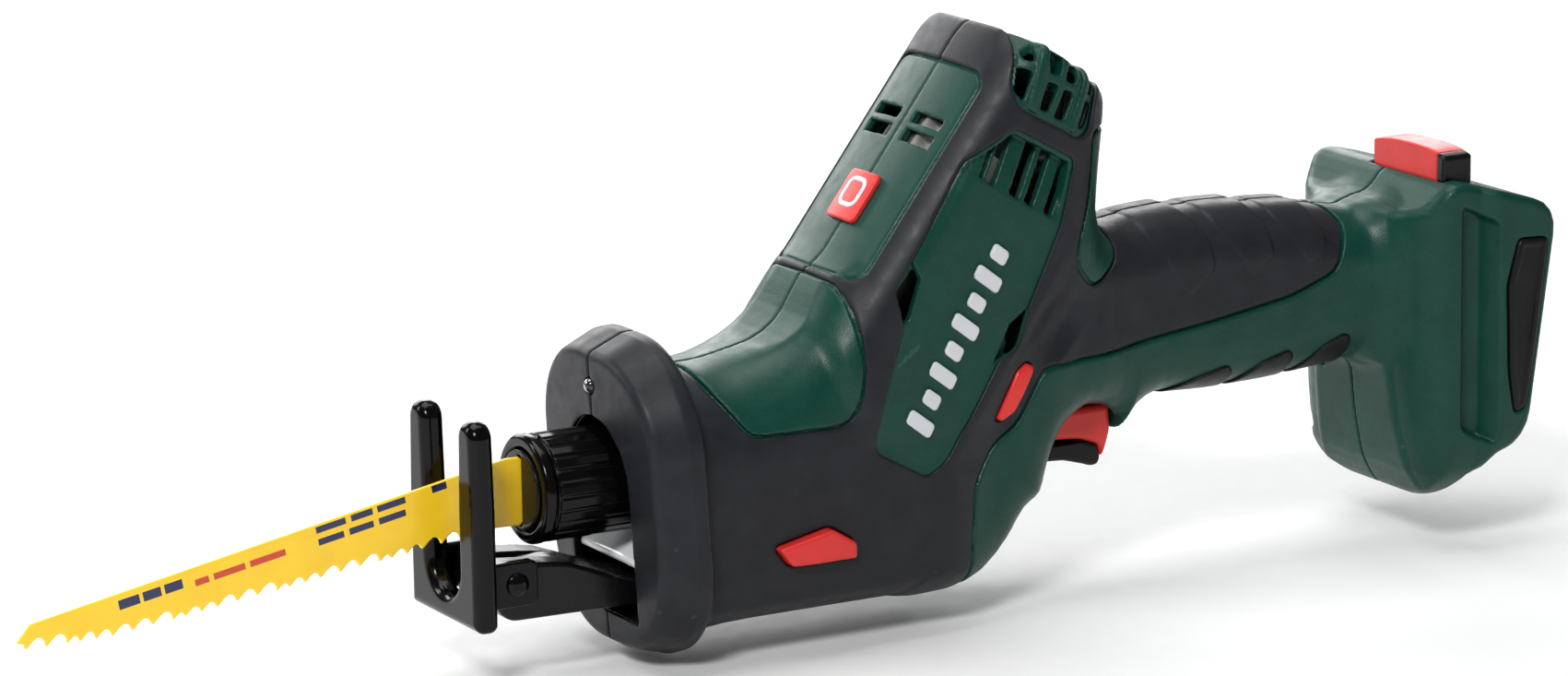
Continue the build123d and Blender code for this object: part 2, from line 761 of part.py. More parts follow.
def make_crank():
    tooth_height = 1.75
    tooth_base_y = -pinion_radius - 0.95
    with BuildPart() as gear:
        with BuildSketch(crank_plane(disc_back_y)):
            Circle(gear_radius)
        extrude(amount=tooth_base_y - disc_back_y)
        with BuildSketch(crank_plane(tooth_base_y - 0.8)):
            Circle(gear_tooth_root - 1.0)
        extrude(amount=5, mode=Mode.SUBTRACT)
        # straight radial teeth, one gap facing the pinion
        for tooth in range(gear_teeth):
            turn = motor_angle + (tooth + 0.5) * 360 / gear_teeth
            ray = Vector(cos(radians(turn)), 0, sin(radians(turn)))
            start = Vector(crank_x, 0, 0) + ray * gear_tooth_root
            with BuildSketch(Plane(origin=start, x_dir=(0, 1, 0), z_dir=ray)):
                with BuildLine():
                    Polyline(
                        (tooth_base_y - 0.2, -0.66),
                        (tooth_base_y + tooth_height, -0.36),
                        (tooth_base_y + tooth_height, 0.36),
                        (tooth_base_y - 0.2, 0.66),
                        close=True,
                    )
                make_face()
            extrude(amount=gear_radius - gear_tooth_root - 0.2)
        with BuildSketch(crank_plane(-20)):
            Circle(crank_shaft_radius)
            with Locations((0, crank_radius)):
                Circle(crank_pin_radius)
        extrude(amount=30, mode=Mode.SUBTRACT)
        # two lightening holes on the crank pin's side, so that the disc balances the yoke
        with BuildSketch(crank_plane(-20)):
            with Locations((-11, 10), (11, 10)):
                Circle(3.5)
        extrude(amount=30, mode=Mode.SUBTRACT)
    save(gear.part, "crown_gear")
    save(tube(crank_plane(-25.6), 17.4, crank_shaft_radius), "crank_shaft")
    with BuildPart() as pin:
        with BuildSketch(crank_plane(disc_back_y)):
            with Locations((0, crank_radius)):
                Circle(crank_pin_radius)
        extrude(amount=3.6 - disc_back_y)
    save(pin.part, "crank_pin")
    with BuildPart() as roller:
        with BuildSketch(crank_plane(-3.3)):
            with Locations((0, crank_radius)):
                Circle(roller_radius)
                Circle(crank_pin_radius + running_clearance, mode=Mode.SUBTRACT)
        extrude(amount=6.6)
    save(roller.part, "crank_roller")
    inner = crank_shaft_radius + running_clearance
    save(ball_bearing(crank_plane(-18.6), 11.0, inner, 7.0), "crank_bearing_inner")
    save(ball_bearing(crank_plane(-25.4), 9.0, inner, 5.0), "crank_bearing_outer")


def make_gear_case():
    case_outer = 29.6
    case_inner = 28.1
    ear_radius = case_inner - 2.4
    ears = [(ear_radius * cos(radians(turn)), ear_radius * sin(radians(turn))) for turn in ear_turns]
    with BuildPart() as case:
        with BuildSketch(crank_plane(-12.4)):
            Circle(case_outer)
        extrude(amount=18.4)
        with BuildSketch(across_x(42)):
            Circle(9.2)
        extrude(amount=10)
        with BuildSketch(across_x(102)):
            Circle(9.2)
        extrude(amount=9.5)
        with BuildSketch(crank_plane(-25.6)):
            Circle(13.0)
        extrude(amount=14)
        # neck that holds the motor's front bearing
        with BuildSketch(motor_plane(26)):
            Circle(12)
        extrude(amount=9)
        with BuildSketch(crank_plane(-11.2)):
            Circle(case_inner)
        extrude(amount=30, mode=Mode.SUBTRACT)
        with BuildSketch(across_x(30)):
            Circle(7.0)
        extrude(amount=19, mode=Mode.SUBTRACT)
        with BuildSketch(across_x(105.2)):
            Circle(7.0)
        extrude(amount=20, mode=Mode.SUBTRACT)
        with BuildSketch(across_x(90)):
            Circle(5.4)
        extrude(amount=20, mode=Mode.SUBTRACT)
        with BuildSketch(across_x(45)):
            Circle(5.4)
        extrude(amount=10, mode=Mode.SUBTRACT)
        with BuildSketch(crank_plane(-18.6)):
            Circle(11.0)
        extrude(amount=10, mode=Mode.SUBTRACT)
        with BuildSketch(crank_plane(-26)):
            Circle(9.0)
        extrude(amount=10, mode=Mode.SUBTRACT)
        with BuildSketch(motor_plane(16)):
            Circle(7.4)
        extrude(amount=13, mode=Mode.SUBTRACT)
        with BuildSketch(motor_plane(16)):
            Circle(5.0)
        extrude(amount=20, mode=Mode.SUBTRACT)
        with BuildSketch(motor_plane(front_bearing_at)):
            Circle(8.0)
        extrude(amount=20, mode=Mode.SUBTRACT)
        # bosses for the cover's screws
        with BuildSketch(crank_plane(-4.0)):
            with Locations(*ears):
                Circle(2.7)
                Circle(1.3, mode=Mode.SUBTRACT)
        extrude(amount=10.0)
    save(case.part, "gear_case")

    with BuildPart() as cover:
        with BuildSketch(crank_plane(6.0)):
            Circle(case_outer)
            with Locations(*ears):
                Circle(1.3, mode=Mode.SUBTRACT)
        extrude(amount=1.6)
        with BuildSketch(motor_plane(22)):
            Circle(12.1)
        extrude(amount=20, mode=Mode.SUBTRACT)
        with BuildSketch(across_x(40)):
            Circle(9.3)
        extrude(amount=80, mode=Mode.SUBTRACT)
    save(cover.part, "gear_case_cover")
    with BuildPart() as screws:
        with BuildSketch(crank_plane(-2.0)):
            with Locations(*ears):
                Circle(1.3)
        extrude(amount=9.6)
        with BuildSketch(crank_plane(7.6)):
            with Locations(*ears):
                Circle(2.4)
        extrude(amount=1.4)
    save(screws.part, "gear_case_screws")


def make_motor():
    with BuildPart() as pinion:
        with BuildSketch(motor_plane(pinion_front)):
            Circle(pinion_radius - 0.95)
            # one tooth points at the crown gear
            with PolarLocations(pinion_radius - 1.3, pinion_teeth, start_angle=180):
                with BuildLine():
                    Polyline((0, -0.8), (2.05, -0.34), (2.05, 0.34), (0, 0.8), close=True)
                make_face()
            Circle(motor_shaft_radius, mode=Mode.SUBTRACT)
        extrude(amount=pinion_back - pinion_front)
    save(pinion.part, "motor_pinion")
    with BuildPart() as shaft:
        with BuildSketch(motor_plane(pinion_front)):
            Circle(motor_shaft_radius)
        extrude(amount=motor_shaft_end - pinion_front)
    save(shaft.part, "motor_shaft")
    save(ball_bearing(motor_plane(front_bearing_at), 8.0, 2.54, 5.0), "motor_bearing_front")
    save(ball_bearing(motor_plane(rear_bearing_at), 6.5, 2.54, 4.0), "motor_bearing_rear")

    with BuildPart() as fan:
        with BuildSketch(motor_plane(fan_at)):
            Circle(16)
            Circle(motor_shaft_radius, mode=Mode.SUBTRACT)
        extrude(amount=1.4)
        with BuildSketch(motor_plane(fan_at + 1.4)):
            Circle(5)
            Circle(motor_shaft_radius, mode=Mode.SUBTRACT)
            with PolarLocations(10.2, 11):
                Rectangle(11.0, 1.1, rotation=24)
        extrude(amount=5)
    save(fan.part, "motor_fan")

    with BuildPart() as can:
        with BuildSketch(motor_plane(can_at)):
            Circle(can_radius)
        extrude(amount=can_length)
        with BuildSketch(motor_plane(can_at + 1.4)):
            Circle(can_radius - 1.3)
        extrude(amount=can_length, mode=Mode.SUBTRACT)
        with BuildSketch(motor_plane(can_at - 1)):
            Circle(5)
            with PolarLocations(11, 6):
                SlotOverall(8, 4, rotation=90)
        extrude(amount=5, mode=Mode.SUBTRACT)
    save(can.part, "motor_can")

    with BuildPart() as magnets:
        with BuildSketch(motor_plane(can_at + 5)):
            Circle(can_radius - 1.3)
            Circle(14.3, mode=Mode.SUBTRACT)
            with PolarLocations(16, 4, start_angle=45):
                Rectangle(9, 4.4, mode=Mode.SUBTRACT)
        extrude(amount=can_length - 12)
    save(magnets.part, "motor_magnets")

    with BuildPart() as core:
        with BuildSketch(motor_plane(can_at + 8)):
            Circle(13.8)
            Circle(motor_shaft_radius, mode=Mode.SUBTRACT)
            with PolarLocations(13.8, 7):
                Rectangle(4, 1.8, mode=Mode.SUBTRACT)
            with PolarLocations(10.0, 7):
                Circle(2.3, mode=Mode.SUBTRACT)
        extrude(amount=36)
    save(core.part, "armature_core")
    with BuildPart() as windings:
        for start in (can_at + 3, can_at + 44):
            with BuildSketch(motor_plane(start)):
                Circle(12.4)
                Circle(5.0, mode=Mode.SUBTRACT)
            extrude(amount=5)
        chamfer(windings.edges().filter_by(GeomType.CIRCLE).filter_by(lambda e: e.radius > 12), length=1.5)
    save(windings.part, "armature_windings")
    with BuildPart() as commutator:
        with BuildSketch(motor_plane(brush_plate_at + 0.5)):
            Circle(6.6)
            Circle(motor_shaft_radius, mode=Mode.SUBTRACT)
            with PolarLocations(6.6, 14):
                Rectangle(1.6, 0.5, mode=Mode.SUBTRACT)
        extrude(amount=10)
    save(commutator.part, "commutator")

    with BuildPart() as plate:
        with BuildSketch(motor_plane(brush_plate_at)):
            Circle(can_radius)
            Circle(can_radius - 1.6, mode=Mode.SUBTRACT)
        extrude(amount=11)
        with BuildSketch(motor_plane(brush_plate_at + 11)):
            Circle(can_radius)
            Circle(5.0, mode=Mode.SUBTRACT)
        extrude(amount=2.5)
        with BuildSketch(motor_plane(rear_bearing_at)):
            Circle(8.4)
            Circle(6.5, mode=Mode.SUBTRACT)
        extrude(amount=4)
        # brush boxes reach in from both sides
        with BuildSketch(motor_plane(brush_plate_at + 1)):
            with Locations((-12, 0), (12, 0)):
                Rectangle(9, 8)
        extrude(amount=10)
        with BuildSketch(motor_plane(brush_plate_at + 2.5)):
            with Locations((-11, 0), (11, 0)):
                Rectangle(10, 5)
        extrude(amount=7, mode=Mode.SUBTRACT)
    save(plate.part, "brush_plate")
    with BuildPart() as brushes:
        with BuildSketch(motor_plane(brush_plate_at + 2.6)):
            with Locations((-10.6, 0), (10.6, 0)):
                Rectangle(7.6, 4.8)
        extrude(amount=6.6)
    save(brushes.part, "carbon_brushes")


# ---------------------------------------------------------------- controls and electrics
def make_trigger():
    with BuildPart() as trigger:
        with BuildSketch(across_y(8.5)):
            with BuildLine():
                Polyline((156.2, -13.6), (156.2, 1.8), (180.4, 1.8), (180.6, -6), (178.2, -13.6))
                ThreePointArc((178.2, -13.6), (167.5, -11.6), (156.2, -13.6))
            make_face()
        extrude(amount=17)
        fillet(trigger.edges().filter_by(Axis.Z), radius=2.5)
    save(trigger.part, "trigger")
    with BuildPart() as pad:
        with BuildSketch(across_y(7.6)):
            with BuildLine():
                ThreePointArc((156.2, -13.6), (167.5, -11.6), (178.2, -13.6))
                Polyline((178.2, -13.6), (178.6, -17.6))
                ThreePointArc((178.6, -17.6), (167.0, -14.4), (155.8, -18.6))
                Polyline((155.8, -18.6), (156.2, -13.6))
            make_face()
        extrude(amount=15.2)
    save(pad.part, "trigger_pad")
    save(coil(Plane(origin=(168, 0, 2.2), z_dir=(0, 0, 1)), 3.0, 0.7, 6.6, 5), "trigger_spring")
    with BuildPart() as switch:
        add(block((152, -9.5, 9.2), (179, 9.5, 27)))
        add(block((156, -6, 27), (175, 6, 31)))
    save(switch.part, "switch_module")

    with BuildPart() as lock:
        with BuildSketch(across_y(27.2)):
            outline(lock_side)
        extrude(amount=54.4)
        chamfer(lock.faces().sort_by(Axis.Y)[0].edges(), length=0.7)
        chamfer(lock.faces().sort_by(Axis.Y)[-1].edges(), length=0.7)
    save(lock.part, "lock_button")

    with BuildPart() as board:
        add(block((184, 8.5, 20), (228, 10.1, 40)))
        add(block((190, 5.5, 24), (200, 8.5, 36)))
        add(block((206, 4.5, 26), (214, 8.5, 34)))
    save(board.part, "control_board")


def make_leads():
    with BuildPart() as power:
        with BuildSketch(across_x(179.2)):
            with Locations((-5, 18.4), (5, 18.4)):
                Circle(1.3)
        extrude(amount=101)
    save(power.part, "power_leads")
    with BuildPart() as leads:
        for y in (-4, 4):
            with BuildLine() as path:
                FilletPolyline((165, y, 31.1), (165, y, 50), (157.5, y, 68.5), radius=8)
            route = path.wires()[0]
            with BuildSketch(Plane(origin=route @ 0, z_dir=route % 0)):
                Circle(1.3)
            sweep()
    save(leads.part, "motor_leads")


def make_battery_interface():
    with BuildPart() as contact_block:
        add(block((280.5, -21, -4), (297, 21, 42)))
        for y in (-12, -6, 0, 6, 12):
            add(block((289, y - 0.5, 4), (299, y + 0.5, 30)), mode=Mode.SUBTRACT)
    save(contact_block.part, "contact_block")
    with BuildPart() as contacts:
        for y in (-12, -6, 0, 6, 12):
            add(block((289, y - 0.4, 6), (306, y + 0.4, 28)))
    save(contacts.part, "battery_contacts")
    with BuildPart() as rails:
        for low_y, high_y in ((-31, -27), (27, 31)):
            add(block((300, low_y, -12), (303, high_y, 37)))
    save(rails.part, "battery_rails")

    with BuildPart() as button:
        with BuildSketch(Plane.YZ.offset(280)):
            with BuildLine():
                Polyline((7.5, 51), (7.5, 63), (3.5, 66.6))
                ThreePointArc((3.5, 66.6), (-10, 67.6), (-24, 66.6))
                Polyline((-24, 66.6), (-28, 63), (-28, 51), (7.5, 51))
            make_face()
        extrude(amount=10)
        fillet(button.edges().filter_by(Axis.Y).group_by(Axis.Z)[-1], radius=0.8)
        # collar that keeps the button in its pocket
        add(block((281.5, -29.4, 50.2), (291.2, 9.1, 51.6)))
    save(button.part, "release_button")
    save(coil(Plane(origin=(285, -10, 42.5), z_dir=(0, 0, 1)), 3.2, 0.8, 7.2, 5), "release_spring")


make_housing_screws()
make_small_covers()
make_lenses()
make_blade()
make_clamp()
make_shoe()
make_plunger()
make_crank()
make_gear_case()
make_motor()
make_trigger()
make_leads()
make_battery_interface()
make_housing()
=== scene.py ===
import json
import math

import bpy
import numpy as np
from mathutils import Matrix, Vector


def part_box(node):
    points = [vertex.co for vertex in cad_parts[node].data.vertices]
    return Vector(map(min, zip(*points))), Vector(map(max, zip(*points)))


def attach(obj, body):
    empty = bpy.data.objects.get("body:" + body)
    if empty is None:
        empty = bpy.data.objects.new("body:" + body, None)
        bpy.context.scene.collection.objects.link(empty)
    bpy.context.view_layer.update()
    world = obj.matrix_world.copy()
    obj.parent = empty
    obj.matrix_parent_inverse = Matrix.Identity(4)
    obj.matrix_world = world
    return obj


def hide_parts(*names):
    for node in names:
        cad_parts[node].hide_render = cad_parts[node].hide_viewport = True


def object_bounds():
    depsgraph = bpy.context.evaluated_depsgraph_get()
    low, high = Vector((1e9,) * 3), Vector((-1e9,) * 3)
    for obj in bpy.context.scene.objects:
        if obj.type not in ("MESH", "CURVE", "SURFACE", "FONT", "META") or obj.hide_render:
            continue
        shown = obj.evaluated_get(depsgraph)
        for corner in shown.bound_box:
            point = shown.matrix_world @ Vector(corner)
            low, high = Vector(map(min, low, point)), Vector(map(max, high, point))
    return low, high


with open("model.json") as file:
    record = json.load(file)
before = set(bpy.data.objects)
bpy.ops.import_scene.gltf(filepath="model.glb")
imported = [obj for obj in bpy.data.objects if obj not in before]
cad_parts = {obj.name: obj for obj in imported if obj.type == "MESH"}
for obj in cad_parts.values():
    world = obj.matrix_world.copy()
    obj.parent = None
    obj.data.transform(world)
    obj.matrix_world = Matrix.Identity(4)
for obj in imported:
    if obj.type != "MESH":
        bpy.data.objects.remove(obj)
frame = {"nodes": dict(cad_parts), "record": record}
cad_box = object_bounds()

import openvdb
from mathutils import Matrix, Vector

# Looks of the compact reciprocating saw.  Every shape is a distance field in millimetres, in the frame's own
# axes: +X back along the stroke, -Y the left side, +Z up.  Meshes are scaled to metres.
metre = 0.001
voxel = 0.5      # grid step of the housing
fine = 0.25      # grid step of the small pieces

# ---------------------------------------------------------------- sizes
wall = 3.2                   # nylon and soft layer together
skin = 1.4                   # soft layer
seam_gap = 0.3               # half of the gap on the parting line
edge_gap = 0.38              # half of the gap between nylon and soft layer
half_width = 31.0
crank_x = 77.0
motor_angle = math.radians(52.5)
tower_front = 22.0
flange_x = 22.5
flange_depth = 16.0
flange_lean = math.radians(3.5)
rim_half = (35.5, 44.2)      # the flange's rim, across and upright
rim_corner = 29.5
rim_drop = 5.3               # rim's middle below the stroke line
rim_taper = 0.36
rim_taper_depth = 11.0
lamp_height = 26.0           # lamp dome above the stroke line
mouth_radius = 17.5
mouth_back = 36.0
mouth_floor = -37.4
guard_half = 25.5
handle_half = 18.6
foot_half = 38.6
foot_front_half = 35.0
foot_belly = 27.0
panel_recess = 1.6           # side panel below the soft layer
front_recess = 0.6           # tower's front panel
cap_recess = 1.1             # rear cap
bay_start = 89.0             # where the louvre bay begins, along the motor axis
bay_slope = 0.2              # how fast the bay sinks towards the top
screw_hole = 3.3             # radius
screw_post = 4.8             # radius
screw_places = [
    (47.5, 19.5), (131, 29), (135, -27), (164, 70), (150, 101.5), (188, 44), (230, 11), (258, 40),
    (273.6, 38), (277, -22),
]

front_side = [
    (30, -43), (50, -40.5), (121, -40.5), (131, -36), (136, -28), (136, 20), (112, 52), (88, 52),
    (83.4, 45.1), (80.7, 39.8), (74.4, 34.3), (65.6, 31.2), (43.5, 30.3), (30, 30.3),
]
tower_side = [
    (80, 38), (136, 112.2), (141.6, 114.8), (168, 98.8), (174, 93), (174.2, 88), (170.5, 72),
    (168.5, 58), (162, 30), (150, 8), (92, 8), (84, 24),
]
guard_side = [
    (105, -39.5), (122, -39.5), (133, -36), (141, -30.5), (146.5, -21.5), (152.3, -18.8),
    (154.6, -9), (159.5, 1), (163, 6), (163, 30), (105, 30),
]
handle_side = [
    (140, 40), (162, 60), (168.5, 60), (172, 56), (178, 53.2), (190, 54.8), (213, 54.8),
    (240, 52.5), (262, 48.6), (280, 48.6), (280, 5.5), (256, 5), (232, 3.2), (212, 2.8),
    (195, 3.6), (188.4, 0.6), (184.2, -4.6), (181.6, -6), (181.2, -1), (176.5, 2.8), (167.5, 4.0),
    (160.5, 2.4), (152, 0), (140, 0),
]
foot_side = [
    (266, 48.8), (273, 50.2), (277, 56.8), (282, 58.5), (309, 50.5), (312.5, 44.5),
    (303.8, -14), (299.5, -20.5), (294.5, -22), (291.5, -27), (287.5, -28), (284, -37.4),
    (278, -36.6), (272, -27), (269, -12), (267.5, 4), (266, 5),
]
foot_ridge = 280.5           # where the foot's rounded front ends in a ridge
foot_channel = [(281.4, 36.5), (284.8, 29.8), (289.6, 31.0), (294.6, 40), (283, 43)]
soft_side = [
    (10, -60), (123.8, -60), (123.8, -26), (125, -10), (132, 0.5), (139.2, 4.3), (148.4, 19.3),
    (181.4, 20.9), (208, 24), (235, 28.2), (250, 33.5), (255, 46), (248, 62), (178, 70),
    (200, 140), (10, 140),
]
neck_window = [
    (45, 34), (46.5, 26), (50.5, 19.5), (54.3, 13.6), (57.5, 12.5), (82.6, 12.5), (87, 15.5), (89.4, 26.3),
    (88, 46), (84, 60), (45, 60),
]
panel_window = [
    (92.8, 9), (93.5, 4), (108.8, -4.6), (114.4, -1.2), (130.3, 23.6), (139, 35.3), (150.7, 59.4),
    (156, 77.5), (137, 88.2), (122.3, 80.4), (100.3, 47.2), (101.9, 37.7),
]
panel_notches = [
    [(107.6, 50), (105.2, 55.4), (99.6, 47.6), (101.6, 38.4), (103.7, 39.2)],
    [(130.3, 24.2), (137.5, 27.4), (141, 38), (135.4, 34.2)],
]
cap_window = [
    (141.2, 110.2), (140.4, 107.8), (137.6, 100), (138.7, 94.6), (144.8, 90.9), (152.5, 86.9), (156.8, 84.4),
    (159.5, 83.7), (162.9, 85.1), (165.5, 92.3), (168, 96), (190, 100), (146, 130),
]
web_window = [
    (165, 84), (162.5, 66), (157.6, 52.8), (158.2, 47.6), (165.5, 40.0), (175.5, 46.4), (176.5, 50.5),
    (173.5, 56), (190, 66), (190, 84),
]
# windows of the cap and slots of the front and the side bay, in tower axes (along, across)
cap_openings = [
    [(128.8, -16.2), (128.7, -12.4), (125.3, -11.0), (124.6, -13.3)],
    [(121.2, -13.1), (122.2, -10.2), (114.6, -8.4), (115.7, -11.3)],
    [(129.6, -8.2), (130.0, -4.2), (126.2, -2.7), (125.6, -5.5)],
    [(122.6, -4.3), (123.2, -1.2), (116.4, 0.1), (115.7, -2.2)],
    [(130.4, -1.2), (131.1, 3.5), (127.2, 3.7), (126.4, 0.4)],
    [(123.6, 1.6), (124.2, 4.6), (117.0, 5.6), (116.2, 3.0)],
    [(131.6, 10.2), (130.4, 13.0), (128.4, 13.4), (128.0, 10.4)],
    [(125.3, 11.2), (125.6, 14.2), (119.5, 14.3), (118.2, 12.2)],
]
cap_ribs = [((129.6, -10.4), (113.0, -4.2)), ((132.4, 7.2), (116.0, 10.0))]
front_slots = [(90.0, 93.8), (95.9, 99.2)]
bay_slots = [(-7.4, -6.2), (-5.0, -1.9), (3.4, 6.9), (8.9, 12.1), (16.0, 18.8)]
lever_side = [(61, -18.3), (77.4, -14.8), (85, -19.5), (85, -23.8), (64.9, -23.6)]
lever_inside = 24.6          # inner face of the shoe lever, clear of its spring
lock_side = [
    (141.8, 22.3), (144.0, 21.0), (143.7, 19.6), (137.5, 9.3), (133.4, 6.8), (132.0, 7.8), (132.4, 9.1),
    (138.1, 20.4),
]
trigger_side = [
    (155.8, -7.2), (155.8, 2.2), (180.4, 2.2), (180.9, -5.5), (179.2, -11), (177.9, -13.4), (176.8, -9.4),
    (170.6, -7.1), (163, -6.5),
]
trigger_pad_side = [
    (155.9, -7.0), (163, -6.3), (170.6, -6.9), (176.7, -9.2), (177.7, -13.2), (176.8, -15.2),
    (174.6, -15.4), (171.4, -14.3), (165.7, -12.7), (159.6, -12.3), (157.2, -13.4), (156.0, -15.8),
    (155.6, -18.6), (154.7, -18.4), (155.4, -11),
]
trigger_spring = (168, 3.9)  # place along X, and radius of the pocket round it
trigger_pocket_floor = -4.4
bumper_side = [
    (299.3, 40.7), (309.2, 40.1), (302.5, -8.5), (298.4, -10.1), (296.4, 2), (295.6, 28),
]
chevrons = [
    [(187.4, 57), (189, 50), (200.3, 32.7), (208.6, 38.6), (208, 46), (202.5, 58)],
    [(209.9, 57), (212, 50), (222, 35.6), (228.7, 40.8), (228, 48), (225, 57)],
    [(230.7, 57), (232.5, 50), (240.9, 37.1), (247.3, 42.1), (246.5, 47), (244, 56)],
]
chevron_reach = 16.0         # length over which a grip scale rises to its full height
finger_pads = [
    [(195, 0), (198.4, 4.1), (206.2, 8), (214.8, 10.7), (217.2, 7.8), (215.9, -3), (195, -3)],
    [(218, 1), (221.3, 5.5), (226.7, 10.1), (234.9, 12.8), (236.9, 10.5), (236.6, -3), (218, -3)],
    [(239, 2), (241.7, 6.5), (246.4, 12.2), (253.4, 15.5), (255.9, 13.5), (255.3, -3), (239, -3)],
]
# raised bars on the side panel, in tower axes
bar_count = 8
bar_first = 26.0
bar_pitch = 7.2
bar_half = 2.1
bar_reach = 4.6

nose_back = 43.0             # the nylon in front of this is black

# blade
blade_half = 0.62
tooth_pitches = (6.0, 5.7, 5.7, 4.5, 4.5, 3.4)
tooth_profile = ((0.0, 1.3), (0.12, 2.35), (0.35, 2.75), (0.6, 1.75), (0.9, 0.1), (0.97, 0.0))
blade_tip_x = -143.0

# shoe
shoe_front = -24.2
shoe_back = -17.2
shoe_half = 20.5
shoe_slot = 9.0
shoe_top = 24.5
shoe_bottom = -32.5
slot_bottom = -16.4
prong_taper = 0.045
shoe_ear = 6.3
pivot = (-9.5, -21.5)
arm_half = 12.0
arm_side = [
    (-9.5, -32.6), (-12.6, -30.5), (-14.6, -27), (-15.6, -21.5), (-14.6, -17.8), (-12.5, -16.4),
    (2, -17.8), (8, -18.8), (24, -25), (45, -30.6), (103.8, -30.6), (103.8, -36.6), (46, -36.6), (30, -33.2),
]

# clamp and lights
sleeve_flats = 24
sleeve_bore = 11.1
clamp_radius = 10.9
tang_half = 0.8              # half width of the blade's slot
work_light_side = [(26, -22.4), (26, -20.5), (34.5, -15.6), (37, -15.6), (37, -24.8)]

# badge, in tower axes
badge_y = 0.2
badge_half = (7.3, 7.6)
badge_along = 70.6
ring_along = 71.4
ring_half = 4.0


# ---------------------------------------------------------------- distance fields
def soften(points, radius):
    """Closed outline with every corner drawn as a short curve."""
    out = []
    count = len(points)
    for i, (px, pz) in enumerate(points):
        ends = []
        for qx, qz in (points[i - 1], points[(i + 1) % count]):
            share = min(radius / math.hypot(qx - px, qz - pz), 0.42)
            ends.append((px + (qx - px) * share, pz + (qz - pz) * share))
        middle = tuple(0.25 * a + 0.5 * b + 0.25 * c for a, b, c in zip(ends[0], (px, pz), ends[1]))
        out += [ends[0], middle, ends[1]]
    return out


def outline(a, b, points, radius=0.0):
    """Signed distance to a closed outline in two coordinates, negative inside."""
    if radius:
        points = soften(points, radius)
    nearest = np.float32(1e9)
    inside = False
    for (pa, pb), (qa, qb) in zip(points, points[1:] + points[:1]):
        ea, eb = np.float32(qa - pa), np.float32(qb - pb)
        wa, wb = a - np.float32(pa), b - np.float32(pb)
        t = np.clip((wa * ea + wb * eb) / (ea * ea + eb * eb), 0, 1)
        nearest = np.minimum(nearest, (wa - ea * t) ** 2 + (wb - eb * t) ** 2)
        if qb != pb:
            crossing = ((pb <= b) != (qb <= b)) & (wa < wb * (ea / eb))
            inside = inside ^ crossing
    return np.where(inside, -1, 1).astype(np.float32) * np.sqrt(nearest)


def meet(a, b, radius):
    """Common part of two fields, with its edge rounded."""
    u = np.maximum(a + radius, 0)
    v = np.maximum(b + radius, 0)
    return np.minimum(np.maximum(a, b), -radius) + np.sqrt(u * u + v * v)


def join(a, b, radius):
    """Union of two fields, with its inner corner filleted."""
    return -meet(-a, -b, radius)


def slab(value, low, high):
    """Layer between two values of one coordinate."""
    return np.maximum(low - value, value - high)


def tower_axes(x, z):
    """Distances along the motor axis and square to it, the second growing towards the back."""
    c, s = math.cos(motor_angle), math.sin(motor_angle)
    return (x - crank_x) * c + z * s, (x - crank_x) * s - z * c


def flange_axes(x, z):
    """Depth behind the flange's front plane, and height along it."""
    c, s = math.cos(flange_lean), math.sin(flange_lean)
    return (x - flange_x) * c + z * s, z * c - (x - flange_x) * s


def box2(a, b, half_a, half_b, corner):
    """Rounded rectangle about the origin of two coordinates."""
    u = np.abs(a) - (half_a - corner)
    v = np.abs(b) - (half_b - corner)
    return np.sqrt(np.maximum(u, 0) ** 2 + np.maximum(v, 0) ** 2) + np.minimum(np.maximum(u, v), 0) - corner


def bar2(a, b, start, end, radius):
    """Round-ended bar between two points of two coordinates."""
    ea, eb = end[0] - start[0], end[1] - start[1]
    t = np.clip(((a - start[0]) * ea + (b - start[1]) * eb) / (ea * ea + eb * eb), 0, 1)
    return np.sqrt((a - start[0] - ea * t) ** 2 + (b - start[1] - eb * t) ** 2) - radius


# ---------------------------------------------------------------- housing
def flange(x, y, z):
    """Oval collar round the mouth, narrower towards its front."""
    depth, height = flange_axes(x, z)
    rim = box2(y, height + rim_drop, *rim_half, rim_corner)
    narrow = rim_taper * np.clip(rim_taper_depth - depth, 0, rim_taper_depth)
    rim = (rim + narrow) / math.hypot(1, rim_taper)
    front = 1.2 * (y / 33) ** 2 - depth
    return meet(meet(rim, front, 1.9), depth - flange_depth, 2.2)


def tower_rear(x, y):
    """Slanted face where the tower's side turns to its back."""
    return (x - 157) * 0.593 + (y - half_width) * 0.805


def tower(x, y, z):
    """Motor housing, with slanted faces along its front and back and a facet at its top corner."""
    along, across = tower_axes(x, z)
    front = -across - tower_front + 3.4 * (y / 22) ** 2
    slope = (y - 23.5) * 0.728 - (across + 18.3) * 0.685
    section = meet(meet(front, slope, 2.4), y - half_width, 4.0)
    facet = 0.421 * along + 0.536 * y - 0.730 * across - 77.9
    solid = meet(section, outline(x, z, tower_side, 4), 3.0)
    return meet(meet(solid, tower_rear(x, y), 5.0), facet, 1.5)


def handle(x, y, z):
    """Grip, flared where it meets the tower and the foot."""
    flare = 5.0 * np.exp(-((x - 168) / 11) ** 2) + 3.0 * np.exp(-((x - 270) / 9) ** 2)
    return meet(outline(x, z, handle_side, 4), y - handle_half - flare, 15.0)


